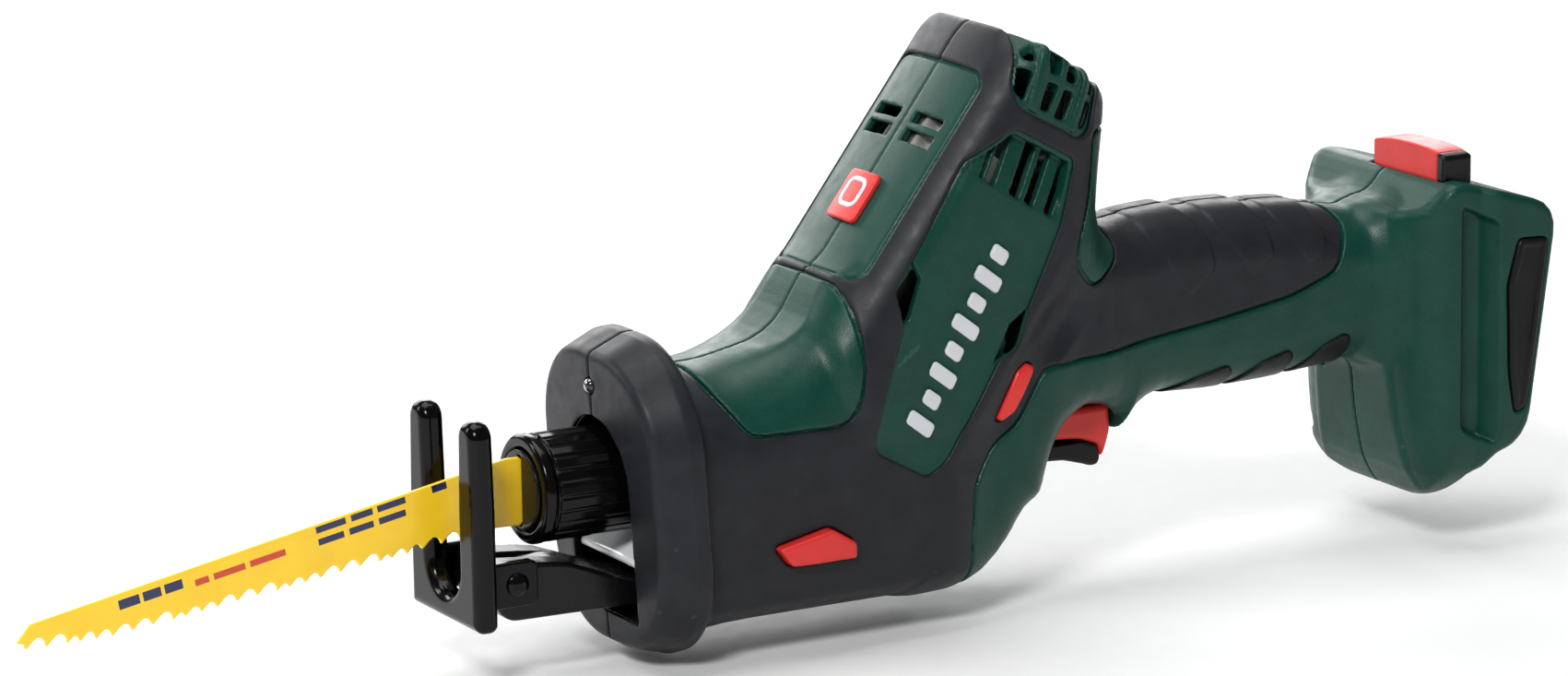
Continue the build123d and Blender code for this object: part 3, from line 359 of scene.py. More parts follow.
def foot(x, y, z):
    """Battery foot: in plan a rounded front up to the ridge, then a plate with a shallow channel."""
    front = np.interp(z, (-37, -27, -12, 4, 60), (276, 270, 267, 265.5, 264)).astype(np.float32)
    turn = np.maximum(foot_ridge - x, 0) / (foot_ridge - front)
    rounded = (np.sqrt(turn ** 2 + (y / foot_front_half) ** 2) - 1) * 22
    plate = np.maximum(y - foot_half, (288 - x) * 0.6 + (y - foot_front_half) * 0.8)
    plan = np.minimum(rounded, plate)
    solid = meet(outline(x, z, foot_side, 4), plan, 2.2)
    belly = np.sqrt(np.maximum(y - 12, 0) ** 2 + np.maximum(-8 - z, 0) ** 2 * 0.9) - foot_belly
    solid = meet(solid, belly, 2.0)
    channel = meet(outline(x, y, foot_channel, 0.8), slab(z + 0.5 * (x - 287), -16, 49), 1.5)
    return meet(solid, -channel, 1.0)


def neck_arch(x, y, z):
    """Arched upper surface of the neck, which grows out of a half circle towards the tower."""
    top = 30.6 + 0.022 * np.clip(x - 50, 0, 60) ** 2
    across = y / half_width
    up = np.maximum(z, 0) / top
    reach = np.sqrt(across ** 2 + up ** 2) + 1e-3
    slope = np.sqrt((across / half_width) ** 2 + (up / top) ** 2) / reach + 1e-3
    return (reach - 1) / slope


def body(x, y, z):
    """Outer surface of the housing without the flange."""
    front = meet(meet(outline(x, z, front_side, 8), y - half_width, 17), neck_arch(x, y, z), 4.0)
    guard = meet(outline(x, z, guard_side, 4), y - guard_half, 13)
    solid = join(front, tower(x, y, z), 4.0)
    # the side slopes in beside the lock button
    low_z = np.maximum(z, -2)
    away = (x - 114.4) * 0.829 - (low_z + 1.2) * 0.559
    fade = np.clip((60 - z) / 24, 0, 1)
    solid = meet(solid, y - half_width + 0.72 * fade * np.clip(away - 2.5, 0, 14), 2.5)
    solid = join(solid, guard, 6.0)
    solid = join(solid, handle(x, y, z), 8.0)
    return join(solid, foot(x, y, z), 7.0)


def mouth(x, y, z):
    """Opening for the sleeve and, below it, for the shoe's arm."""
    way_down = np.maximum(y - mouth_radius, slab(z, mouth_floor, 0))
    arch = np.minimum(np.sqrt(y * y + z * z) - mouth_radius, way_down)
    return np.maximum(arch, x - mouth_back)


def bay_depth(x, z):
    """How far the louvre bay sinks below the side panel."""
    along, across = tower_axes(x, z)
    start = bay_start + 0.12 * (across + 11)
    return np.clip((along - start) * bay_slope, 0, 3.6)


def vents(x, y, z):
    """Side louvres, the cap's windows and the two rows of slots in the tower's front."""
    along, across = tower_axes(x, z)
    field = np.float32(1e3)
    bay_end = outline(x, z, panel_window, 1.5) + 0.9
    for low, high in bay_slots:
        start = bay_start + 1.0 + 0.12 * (low + 11)
        slot = np.maximum(slab(across + 0.14 * (along - start), low, high), start - along)
        field = np.minimum(field, np.maximum(np.maximum(slot, bay_end), 20 - y))
    side_level = np.maximum(y - half_width, tower_rear(x, y))
    for points in cap_openings:
        field = np.minimum(field, np.maximum(outline(along, across, points, 0.5) - 0.4, -6.5 - side_level))
    for low, high in front_slots:
        slot = np.maximum(slab(y, 3.7, 17.0), slab(along, low, high))
        field = np.minimum(field, np.maximum(slot, across + 8))
    for points in panel_notches:
        field = np.minimum(field, np.maximum(outline(x, z, points, 0.4), 26.6 - y))
    return field


def openings(x, y, z, side):
    """Passages through the walls, on the left (side -1) or the right (side +1)."""
    depth, height = flange_axes(x, z)
    trigger_slot = np.maximum(slab(x, 154.2, 181.6), np.maximum(y - 9.2, z - 8.8))
    lock_passage = outline(x, z, lock_side, 1.0) - 0.45
    bay = np.maximum(np.maximum(297 - x, y - 31), z - 38)
    lamp = np.maximum(np.sqrt(y * y + (height - lamp_height) ** 2) - 2.35, depth - 8)
    field = np.minimum(mouth(x, y, z), vents(x, y, z))
    for tool in (trigger_slot, lock_passage, bay, lamp):
        field = np.minimum(field, tool)
    button_end = 28.4 if side < 0 else 7.9
    field = np.minimum(field, np.maximum(np.maximum(slab(x, 279.6, 290.4), y - button_end), 50 - z))
    if side < 0:
        field = np.minimum(field, np.maximum(outline(x, z, lever_side, 1.2) - 0.45, 22 - y))
    else:
        # blind hole beside the grip, in the foot's front
        blind = np.sqrt((y - 15) ** 2 + (z + 0.8) ** 2) - 1.6
        field = np.minimum(field, np.maximum(blind, slab(x, 255, 274)))
        for px, pz in screw_places:
            hole = np.sqrt((x - px) ** 2 + (z - pz) ** 2) - screw_hole
            field = np.minimum(field, np.maximum(hole, 13.2 - y))
    return field


def soft_region(x, y, z):
    """Signed boundary of the soft layer, negative where the rubber is, and the boundaries of the windows."""
    along, across = tower_axes(x, z)
    front_panel = np.maximum(box2(y, along - 81.5, 22, 33.5, 5.0), across + 8)
    cap = outline(x, z, cap_window, 1.5)
    flush = np.minimum(outline(x, z, neck_window, 4), outline(x, z, web_window, 3))
    panel = np.maximum(outline(x, z, panel_window, 1.5), 24 - y)
    soft = outline(x, z, soft_side, 3)
    covered = np.maximum(soft, -np.minimum(flush, np.minimum(cap, front_panel)))
    return np.maximum(covered, -panel), soft, flush, front_panel, cap, panel


def side_bars(x, z):
    """Raised generic bars on the side panel, alternately long and short."""
    along, across = tower_axes(x, z)
    centre = 17.6 - 0.13 * (along - 22)
    field = np.float32(1e3)
    for i in range(bar_count):
        reach = bar_reach if i % 2 == 0 else 0.62 * bar_reach
        bar = box2(along - bar_first - bar_pitch * i, across - centre, bar_half, reach, 1.2)
        field = np.minimum(field, bar)
    return field


def housing_fields(x, y, z):
    """Nylon, soft layer and finger pads of one half, before the openings."""
    along, across = tower_axes(x, z)
    plain = body(x, y, z)
    shape = join(plain, flange(x, y, z), 2.0)
    covered, soft, flush, front_panel, cap, panel = soft_region(x, y, z)
    sink = bay_depth(x, z)
    core = np.maximum(shape + skin, -panel - 1.0)
    green = meet(shape - 0.1, np.minimum(-soft, flush) + edge_gap, 0.6)
    front = meet(shape + front_recess, front_panel + edge_gap, 0.3)
    ribs = np.float32(1e3)
    for start, end in cap_ribs:
        ribs = np.minimum(ribs, bar2(along, across, start, end, 1.35))
    grille = np.minimum(shape + cap_recess, meet(shape, ribs, 0.6))
    rear = meet(grille, cap + edge_gap, 0.3)
    sunk = meet(shape + panel_recess + sink, panel + edge_gap, 0.3)
    bars = meet(shape + panel_recess - 0.7, np.maximum(side_bars(x, z), 24 - y), 0.3)
    nylon = np.minimum(np.minimum(core, green), np.minimum(front, rear))
    nylon = np.minimum(nylon, np.minimum(sunk, bars))
    posts = np.float32(1e3)
    for px, pz in screw_places:
        posts = np.minimum(posts, np.sqrt((x - px) ** 2 + (z - pz) ** 2) - screw_post)
    hollow = np.maximum(plain + wall + np.where(panel < 0, sink + 1.2, 0), -posts)
    nylon = np.maximum(nylon, -hollow)
    bumper = np.maximum(outline(x, z, bumper_side, 1.5) - 0.3, 37 - y)
    nylon = meet(nylon, -bumper, 0.5)
    # soft layer, with grip scales that rise towards the back
    rise = np.float32(0)
    for points in chevrons:
        scale = outline(x, z, points, 1.5)
        start = points[1][0]
        height = 0.25 + 0.85 * np.clip(((x - start) + 0.65 * (z - 50)) / chevron_reach, 0, 1)
        rise = np.maximum(rise, height * np.clip(0.5 - scale / 0.7, 0, 1))
    rubber = meet(shape - rise, covered + edge_gap, 0.8)
    rubber = np.maximum(rubber, -(shape + skin))
    pads = np.float32(1e3)
    for points in finger_pads:
        pads = np.minimum(pads, outline(x, z, points, 1.5))
    finger = np.maximum(meet(shape - 0.9, pads, 0.8), -(shape + 0.3))
    return nylon, rubber, finger, shape


def cut_half(field, y, shape):
    """Keeps one side of the parting line, with a small groove along it."""
    outer = meet(field, seam_gap - y, 0.3)
    lip = np.maximum(np.maximum(field, shape + 1.0), -y)
    return np.minimum(outer, lip)


# ---------------------------------------------------------------- small pieces
def trigger(x, y, z):
    """Trigger, hollow where it closes over its spring."""
    centre, radius = trigger_spring
    pocket = np.maximum(np.sqrt((x - centre) ** 2 + y ** 2) - radius, trigger_pocket_floor - z)
    return np.maximum(meet(outline(x, z, trigger_side, 1.2), np.abs(y) - 8.8, 2.2), -pocket)


def trigger_pad(x, y, z):
    """Finger pad under the trigger."""
    return meet(outline(x, z, trigger_pad_side, 0.8), np.abs(y) - 8.2, 1.4)


def lock_button(x, y, z):
    """Lock slider that shows on both sides, slightly domed."""
    crown = 0.9 * ((x - 138) ** 2 + (z - 14) ** 2) / 90
    return meet(outline(x, z, lock_side, 0.8), np.abs(y) - 28.9 + crown, 1.0)


def shoe_lever(x, y, z):
    """Release lever with the collar that keeps it in the wall."""
    crown = 0.5 + 0.05 * np.abs(x - 73)
    face = meet(outline(x, z, lever_side, 1.0), -y - 33.6 + crown, 1.0)
    solid = np.maximum(face, y + lever_inside)
    collar = np.maximum(box2(x - 73, z + 19.5, 13, 5.6, 1.5), slab(-y, lever_inside, lever_inside + 1.8))
    return np.minimum(solid, collar)


def release_button(x, y, z):
    """Battery release button with an arched top."""
    across = box2(x - 285, z - 57, 4.9, 9.6, 0.8)
    crown = 66.9 - 2.2 * ((y + 10) / 17.6) ** 2
    solid = meet(across, z - crown, 0.7)
    return meet(solid, slab(y, -28.0, 7.4), 1.0)


def shoe(x, y, z):
    """Forked shoe: two prongs that taper a little towards their round tops, a plate below, two ears."""
    ay = np.abs(y)
    narrow = prong_taper * np.clip(z, 0, shoe_top)
    lane = (shoe_slot + shoe_half) / 2
    half_wide = (shoe_half - shoe_slot) / 2 - narrow
    half_high = (shoe_top - slot_bottom) / 2
    prong = box2(ay - lane, z - (shoe_top + slot_bottom) / 2, half_wide, half_high, 4.4)
    plate = box2(y, z - (slot_bottom + shoe_bottom) / 2, shoe_half, (slot_bottom - shoe_bottom) / 2, 1.8)
    plate = np.minimum(plate, np.maximum(ay - shoe_half, slab(z, shoe_bottom + 8, slot_bottom + 6)))
    plate = np.maximum(plate, shoe_slot - np.sqrt(y * y + np.maximum(slot_bottom - z, 0) ** 2))
    solid = meet(np.minimum(prong, plate), slab(x, shoe_front, shoe_back), 2.9)
    ear_end = pivot[0] + shoe_ear
    ear = box2(x - (shoe_back + ear_end) / 2 + 1, z - pivot[1], (ear_end - shoe_back) / 2 + 1, shoe_ear, 2.4)
    ear = meet(ear, slab(ay, 12.3, 15.3), 0.8)
    return join(solid, ear, 1.0)


def shoe_arm(x, y, z):
    """Arm of the shoe, with the groove that the tooth tips pass over and a pocket in its tail."""
    ay = np.abs(y)
    solid = meet(outline(x, z, arm_side, 1.5), ay - arm_half, 1.2)
    pocket = np.maximum(box2(x - 72, y, 24, 9, 3), -34 - z)
    groove = np.maximum(np.maximum(ay - 3, x - 16), -18.6 - z)
    return meet(meet(solid, -pocket, 0.6), -groove, 0.6)


def pivot_pin(x, y, z):
    """Pin of the shoe, with a domed head on each side."""
    r = np.sqrt((x - pivot[0]) ** 2 + (z - pivot[1]) ** 2)
    ay = np.abs(y)
    shank = np.maximum(r - 2.5, ay - 15.6)
    dome = np.maximum(np.sqrt(r * r + (ay - 12.2) ** 2) - 4.8, 15.5 - ay)
    return np.minimum(shank, dome)


def sleeve(x, y, z):
    """Clamp sleeve with flats round its barrel and a lipped front."""
    r = np.sqrt(y * y + z * z)
    step = 2 * math.pi / sleeve_flats
    phase = np.mod(np.arctan2(z, y), step) - step / 2
    facet = r * np.cos(phase) - 14.75
    groove = np.sqrt((r - 15.2) ** 2 + ((np.abs(phase) - step / 2) * 15) ** 2) - 0.75
    barrel = np.maximum(np.maximum(facet, -groove), slab(x, 4.6, 31.5))
    rim = meet(r - 15.0, slab(x, 0.0, 4.0), 1.5)
    neck = np.maximum(r - 14.1, slab(x, 3.0, 33.0))
    lip = np.sqrt((r - 12.9) ** 2 + (x - 1.4) ** 2) - 0.9
    solid = np.minimum(np.minimum(barrel, rim), neck)
    cone = r - 12.0 + 0.9 * np.clip(x, 0, 1.0)
    solid = np.minimum(np.maximum(solid, -cone), lip)
    solid = np.maximum(solid, sleeve_bore - r)
    return np.maximum(solid, -np.maximum(r - 13.2, slab(x, 24.5, 40)))


def clamp_core(x, y, z):
    """Clamp inside the sleeve, with its domed front and the slot for the blade."""
    r = np.sqrt(y * y + z * z)
    front = -4.4 + 0.028 * r * r - x
    solid = meet(meet(r - clamp_radius, front, 0.8), x - 24.4, 0.4)
    cut = slab(y, -tang_half, tang_half)
    tang = np.maximum(cut, np.maximum(slab(z, -6.3, 6.3), x - 21))
    shoulder = np.maximum(cut, np.maximum(slab(z, -10.1, 9.7), x - 5))
    core = np.maximum(solid, -np.minimum(tang, shoulder))
    rod = np.maximum(r - 9.5, slab(x, 24, 32))
    return np.minimum(core, rod)


def tooth_line(x):
    """Height of the blade's tooth tips."""
    return -22.8 + max(x + 115.0, 0) * 0.119


def blade_points():
    """Outline of the blade: curved gullets between set teeth, then the back and the tang."""
    points = []
    x, count = -13.0, 0
    while x > blade_tip_x + 4.0:
        pitch = tooth_pitches[count % len(tooth_pitches)]
        tip = tooth_line(x)
        for share, rise in tooth_profile:
            points.append((x - share * pitch, tip + rise * pitch / 5.7))
        x -= pitch
        count += 1
    back = [(blade_tip_x - 2.9, -20.8), (blade_tip_x + 1.0, -16.2), (-5.0, 9.2), (-1.0, 9.2)]
    tang = [(2.5, 6.0), (20.0, 6.0), (20.0, -6.0), (2.5, -6.0), (-1.0, -9.6)]
    return points + [(x, tooth_line(x) + 1.4)] + back + tang


def blade(x, y, z):
    """Saw blade of even thickness."""
    return meet(outline(x, z, blade_points()), np.abs(y) - blade_half, 0.15)


def badge_level(across, y):
    """Height over the tower's curved front."""
    return -across - tower_front + 3.4 * (y / 22) ** 2


def badge(x, y, z):
    """Rounded plate on the tower's front."""
    along, across = tower_axes(x, z)
    level = badge_level(across, y)
    solid = meet(level + 0.1, box2(y - badge_y, along - badge_along, *badge_half, 1.8), 0.5)
    return np.maximum(solid, -(level + 1.6))


def badge_ring(x, y, z):
    """Plain raised ring on the badge."""
    along, across = tower_axes(x, z)
    level = badge_level(across, y)
    ring = np.abs(box2(y - badge_y, along - ring_along, ring_half, ring_half, 2.4)) - 0.75
    return np.maximum(meet(level - 0.15, ring, 0.3), -(level + 0.6))


def bumper_pad(x, y, z):
    """Pad on the foot's side, with a rim round a shallow hollow."""
    ay = np.abs(y)
    inner = outline(x, z, bumper_side, 1.5)
    face = meet(inner, ay - 39.2 + 0.02 * (z - 18) ** 2 / 20, 0.9)
    hollow = np.maximum(inner + 2.2, 38.5 - ay)
    return np.maximum(meet(face, -hollow, 0.4), 37.05 - ay)


def led_dome(x, y, z):
    """Lamp over the mouth."""
    depth, height = flange_axes(x, z)
    r = np.sqrt(y * y + (height - lamp_height) ** 2)
    dome = np.sqrt(r * r + (depth - 0.6) ** 2) - 2.1
    barrel = np.maximum(r - 2.1, slab(depth, 0.6, 6.5))
    return np.minimum(dome, barrel)


def work_light(x, y, z):
    """Lens under the sleeve."""
    return meet(outline(x, z, work_light_side, 0.8), np.abs(y) - 17.3, 0.5)


# ---------------------------------------------------------------- meshes
housing_low = np.array([19.0, -1.6, -56.0])
housing_high = np.array([316.0, 41.0, 119.0])
block_length = 48            # grid planes worked out at a time
piece_room = 3.5             # space left round a CAD node for its visible piece


def grid_axes(low, high, step):
    """Grid coordinates of a box along X, Y and Z."""
    count = np.ceil((high - low) / step).astype(int) + 1
    return [low[i] + step * np.arange(count[i], dtype=np.float32) for i in range(3)]


def mesh_of(name, values, origin, step, mirror=False):
    """Object from a field sampled on a grid, mirrored in Y where asked."""
    grid = openvdb.FloatGrid(float(3 * step))
    grid.copyFromArray(np.clip(values, -3 * step, 3 * step).astype(np.float32), tolerance=1e-5)
    points, triangles, quads = grid.convertToPolygons(0.0, 0.0)
    points = (points * step + origin) * metre
    if mirror:
        points[:, 1] *= -1
    else:
        triangles, quads = triangles[:, ::-1], quads[:, ::-1]
    me = bpy.data.meshes.new(name)
    me.vertices.add(len(points))
    me.vertices.foreach_set("co", points.astype(np.float32).ravel())
    loops = np.concatenate([triangles.ravel(), quads.ravel()]).astype(np.int32)
    sizes = np.concatenate([np.full(len(triangles), 3), np.full(len(quads), 4)])
    me.loops.add(len(loops))
    me.loops.foreach_set("vertex_index", loops)
    me.polygons.add(len(sizes))
    me.polygons.foreach_set("loop_start", (np.cumsum(sizes) - sizes).astype(np.int32))
    me.polygons.foreach_set("use_smooth", np.ones(len(sizes), bool))
    me.update(calc_edges=True)
    me.validate()
    ob = bpy.data.objects.new(name, me)
    bpy.context.scene.collection.objects.link(ob)
    return ob


def build_housing():
    """Nylon, soft layer, finger pads and side bars of both halves, keyed by kind and side."""
    xs, ys, zs = grid_axes(housing_low, housing_high, voxel)
    kinds = ("nylon", "rubber", "finger")
    store = {kind: np.empty((len(xs), len(ys), len(zs)), np.float32) for kind in kinds}
    shape = np.empty_like(store["nylon"])
    tools = {side: np.empty_like(shape) for side in (-1, 1)}
    y = ys[None, :, None]
    z = zs[None, None, :]
    for start in range(0, len(xs), block_length):
        block = slice(start, start + block_length)
        x = xs[block, None, None]
        *fields, shape[block] = housing_fields(x, y, z)
        for kind, field in zip(kinds, fields):
            store[kind][block] = field
        for side in (-1, 1):
            tools[side][block] = openings(x, y, z, side)
    made = {}
    for side, word in ((-1, "left"), (1, "right")):
        for kind in kinds:
            field = cut_half(meet(store[kind], -tools[side], 0.3), y, shape)
            made[kind, word] = mesh_of(f"{kind}_{word}", field, housing_low, voxel, side < 0)
    return made


def build_piece(name, field, low, high):
    """Small piece from its field, sampled between two corners in millimetres."""
    low, high = np.array(low, float), np.array(high, float)
    xs, ys, zs = grid_axes(low, high, fine)
    return mesh_of(name, field(xs[:, None, None], ys[None, :, None], zs[None, None, :]), low, fine)


def build_at_node(name, field, node):
    """Small piece sampled round a CAD node."""
    low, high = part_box(node)
    low = [c / metre - piece_room for c in low]
    high = [c / metre + piece_room for c in high]
    return build_piece(name, field, low, high)


def bar_inlay(side):
    """Pale faces of the raised bars on one side."""
    def field(x, y, z):
        ay = y * side
        level = ay - half_width + panel_recess
        return np.maximum(meet(level - 0.8, side_bars(x, z), 0.3), -(level + 0.4))
    return field


def part_of(field, low, high):
    """Slice of a piece between two Y values."""
    return lambda x, y, z: np.maximum(field(x, y, z), slab(y, low, high))


# ---------------------------------------------------------------- materials
def linear(red, green, blue):
    """Linear colour from 0-255 display values."""
    return tuple(((c / 255 + 0.055) / 1.055) ** 2.4 if c > 10 else c / 255 / 12.92 for c in (red, green, blue))


class Finish:
    """Node tree of one procedural surface."""

    def __init__(self, name, metallic=0.0, coat=0.0, spec=0.5):
        self.material = bpy.data.materials.new(name)
        self.material.use_nodes = True
        self.nodes, self.links = self.material.node_tree.nodes, self.material.node_tree.links
        self.shader = self.nodes["Principled BSDF"]
        self.shader.inputs["Metallic"].default_value = metallic
        self.shader.inputs["Coat Weight"].default_value = coat
        self.shader.inputs["Coat Roughness"].default_value = 0.06
        self.shader.inputs["Specular IOR Level"].default_value = spec
        self.place = self.nodes.new("ShaderNodeTexCoord").outputs["Object"]

    def noise(self, size, detail):
        """Noise with lumps of a size in millimetres."""
        node = self.nodes.new("ShaderNodeTexNoise")
        node.inputs["Scale"].default_value = 1 / (size * metre)
        node.inputs["Detail"].default_value = detail
        self.links.new(self.place, node.inputs["Vector"])
        return node.outputs["Fac"]

    def ramp(self, source, low, high, start=0.0, end=1.0):
        node = self.nodes.new("ShaderNodeMapRange")
        for socket, value in (("From Min", low), ("From Max", high), ("To Min", start), ("To Max", end)):
            node.inputs[socket].default_value = value
        self.links.new(source, node.inputs["Value"])
        return node.outputs["Result"]

    def mix(self, factor, first, second):
        node = self.nodes.new("ShaderNodeMix")
        node.data_type = "RGBA"
        self.links.new(factor, node.inputs["Factor"])
        for socket, value in (("A", first), ("B", second)):
            target = [s for s in node.inputs if s.name == socket and s.type == "RGBA"][0]
            if isinstance(value, tuple):
                target.default_value = (*value, 1)
            else:
                self.links.new(value, target)
        return [s for s in node.outputs if s.type == "RGBA"][0]

    def maths(self, operation, first, second=0.0):
        node = self.nodes.new("ShaderNodeMath")
        node.operation = operation
        for socket, value in zip(node.inputs, (first, second)):
            if isinstance(value, (int, float)):
                socket.default_value = value
            else:
                self.links.new(value, socket)
        return node.outputs[0]

    def along(self, direction):
        """Object coordinate along a direction, in metres."""
        node = self.nodes.new("ShaderNodeVectorMath")
        node.operation = "DOT_PRODUCT"
        node.inputs[1].default_value = direction
        self.links.new(self.place, node.inputs[0])
        return node.outputs["Value"]

    def pointed(self):
        return self.nodes.new("ShaderNodeNewGeometry").outputs["Pointiness"]

    def done(self, tint, roughness, grain=0.0, grain_size=0.5):
        """Links the colour, a roughness that varies a little, and a bump where there is grain."""
        links, shader = self.links, self.shader
        links.new(tint, shader.inputs["Base Color"])
        rough = self.ramp(self.noise(4.0, 4.0), 0.3, 0.7, roughness * 0.85, min(1, roughness * 1.15))
        links.new(rough, shader.inputs["Roughness"])
        if grain:
            bump = self.nodes.new("ShaderNodeBump")
            bump.inputs["Strength"].default_value = 1.0
            bump.inputs["Distance"].default_value = grain * metre
            links.new(self.noise(grain_size, 2.0), bump.inputs["Height"])
            links.new(bump.outputs["Normal"], shader.inputs["Normal"])
        return self.material


def base_tint(finish, colour, mottle, speck=0.0, wear=0.0):
    """Mottled colour with fine paler specks and paler worn edges."""
    dark = tuple(c * (1 - 0.35 * mottle) for c in colour)
    light = tuple(min(1, c * (1 + 0.35 * mottle) + 0.003 * mottle) for c in colour)
    tint = finish.mix(finish.ramp(finish.noise(9.0, 4.0), 0.35, 0.65), dark, light)
    if speck:
        paler = tuple(min(1, c * 1.8 + 0.015) for c in colour)
        tint = finish.mix(finish.ramp(finish.noise(0.45, 2.0), 0.6, 0.78, 0, speck), tint, paler)
    if wear:
        paler = tuple(min(1, c * 1.7 + 0.02) for c in colour)
        tint = finish.mix(finish.ramp(finish.pointed(), 0.53, 0.62, 0, wear), tint, paler)
    return tint


def nylon_material():
    """Green nylon, left black inside the nose."""
    finish = Finish("nylon_green", spec=0.26)
    tint = base_tint(finish, linear(6, 58, 47), 0.22, 0.5, 0.6)
    nose = finish.maths("LESS_THAN", finish.along((1, 0, 0)), nose_back * metre)
    return finish.done(finish.mix(nose, tint, linear(15, 16, 17)), 0.38, 0.05, 0.6)


def moulded(name, colour, roughness, grain, grain_size, mottle, speck=0.0, metallic=0.0, wear=0.0, spec=0.5):
    """Finish of an even colour, with grain in millimetres."""
    finish = Finish(name, metallic=metallic, spec=spec)
    return finish.done(base_tint(finish, colour, mottle, speck, wear), roughness, grain, grain_size)


# printed dashes of the blade: centre and half size along and across the blade, in mm
blade_slope = 10.4
print_blue = [
    (-115.2, 6.7, 3.0, 1.3), (-108.6, 6.7, 2.6, 1.3), (-102.4, 6.7, 2.6, 1.3), (-56.0, 8.4, 4.4, 0.9),
    (-46.8, 8.4, 3.2, 0.9), (-38.0, 8.4, 4.2, 0.9), (-56.6, 5.0, 3.8, 0.9), (-47.6, 5.0, 3.6, 0.9),
    (-38.4, 5.0, 4.0, 0.9), (-23.6, 8.6, 2.2, 1.0),
]
print_red = [(-94.4, 5.6, 2.0, 0.9), (-86.4, 5.6, 4.6, 0.9), (-75.2, 5.6, 5.2, 0.9)]


def blade_material():
    """Yellow paint with plain printed dashes, and bare steel along the tooth edges."""
    finish = Finish("paint_yellow", coat=0.25)
    slope = math.radians(blade_slope)
    u = finish.along((math.cos(slope), 0, math.sin(slope)))
    v = finish.along((-math.sin(slope), 0, math.cos(slope)))
    side = finish.maths("GREATER_THAN", finish.maths("ABSOLUTE", finish.along((0, 1, 0))), 0.4 * metre)

    def dashes(boxes):
        total = None
        for cu, cv, hu, hv in boxes:
            du = finish.maths("ABSOLUTE", finish.maths("SUBTRACT", u, cu * metre))
            dv = finish.maths("ABSOLUTE", finish.maths("SUBTRACT", v, cv * metre))
            inside = finish.maths("MULTIPLY", finish.maths("LESS_THAN", du, hu * metre),
                                  finish.maths("LESS_THAN", dv, hv * metre))
            total = inside if total is None else finish.maths("MAXIMUM", total, inside)
        return finish.maths("MULTIPLY", total, side)

    tint = base_tint(finish, linear(248, 202, 30), 0.1)
    tint = finish.mix(dashes(print_blue), tint, linear(26, 34, 78))
    tint = finish.mix(dashes(print_red), tint, linear(200, 62, 32))
    edge = finish.ramp(finish.pointed(), 0.56, 0.7, 0, 0.75)
    tint = finish.mix(edge, tint, linear(226, 214, 160))
    return finish.done(tint, 0.38, 0.008, 0.8)


def lens_material(name, colour, transmission, roughness):
    """Clear or milky plastic. The near-white opaque one is a painted highlight."""
    finish = Finish(name, coat=0.6)
    finish.shader.inputs["Transmission Weight"].default_value = transmission
    return finish.done(base_tint(finish, colour, 0.06), roughness)


def make_materials():
    """One finish for each of the record's slots."""
    return {
        "housing_nylon": nylon_material(),
        "soft_rubber": moulded("rubber_charcoal", linear(33, 34, 38), 0.42, 0.035, 0.35, 0.3, 0.15,
                               wear=0.5, spec=0.2),
        "black_plastic": moulded("plastic_black", linear(16, 16, 18), 0.4, 0.04, 0.5, 0.3, 0.1,
                                 wear=0.3, spec=0.25),
        "red_plastic": moulded("plastic_red", linear(212, 48, 44), 0.34, 0.02, 0.5, 0.12, wear=0.25, spec=0.35),
        "gloss_black_metal": moulded("enamel_black", linear(3, 3, 4), 0.14, 0.004, 1.5, 0.2,
                                     wear=0.1, spec=0.2),
        "blade_yellow": blade_material(),
        "steel": moulded("steel_turned", linear(150, 150, 152), 0.28, 0.01, 0.4, 0.2, metallic=1.0),
        "motor_steel": moulded("steel_plated", linear(150, 149, 144), 0.35, 0.01, 0.4, 0.2, metallic=1.0),
        "magnet": moulded("ferrite", linear(48, 46, 46), 0.6, 0.03, 0.4, 0.3),
        "copper": moulded("copper_wire", linear(190, 100, 60), 0.3, 0.05, 0.7, 0.3, metallic=1.0),
        "bronze": moulded("bronze_sintered", linear(150, 110, 60), 0.45, 0.03, 0.3, 0.4, metallic=1.0),
        "seal_rubber": moulded("rubber_seal", linear(25, 25, 25), 0.6, 0.02, 0.4, 0.2),
        "cast_aluminium": moulded("aluminium_cast", linear(150, 152, 155), 0.5, 0.06, 0.7, 0.3, metallic=1.0),
        "board_green": moulded("board_laminate", linear(25, 90, 50), 0.35, 0.01, 0.8, 0.2),
        "lead_sheath": moulded("lead_sheath", linear(160, 30, 30), 0.4, 0.01, 0.8, 0.2),
        # the clear lens finish is near white and opaque, with no transmission: a painted highlight that stands
        # for the bright patch of light under the sleeve
        "clear_lens": lens_material("lens_painted_highlight", linear(240, 243, 245), 0.0, 0.2),
    }


def extra_materials():
    """Finishes of pieces that differ from their slot's main one."""
    return {
        "satin_black": moulded("plastic_satin_black", linear(10, 10, 12), 0.26, 0.01, 0.6, 0.3,
                               wear=0.25, spec=0.25),
        "grip_black": moulded("rubber_black", linear(14, 14, 16), 0.38, 0.03, 0.35, 0.3, 0.1,
                              wear=0.5, spec=0.2),
        "print_silver": moulded("print_silver", linear(205, 207, 210), 0.4, 0.02, 0.5, 0.08),
        "lamp": lens_material("lens_lamp", linear(40, 42, 46), 0.3, 0.06),
    }


# ---------------------------------------------------------------- stage
camera_turn = (-28.9, 12.8, -0.9)            # azimuth, elevation and roll, in degrees
camera_place = (-690.1, -1396.7, 394.1)      # in mm
camera_lens = 137.57
floor_half = 6.0                             # in metres, as the lights below
lights = [
    ("top", (0.0, 0.3, 1.9), (1.7, 1.3), 26),
    ("key", (-1.1, -1.3, 1.5), (0.5, 0.5), 34),
    ("rim", (-1.3, 1.0, 0.9), (0.3, 0.9), 8),
    ("back", (0.5, 2.0, 0.8), (2.6, 0.9), 36),
]


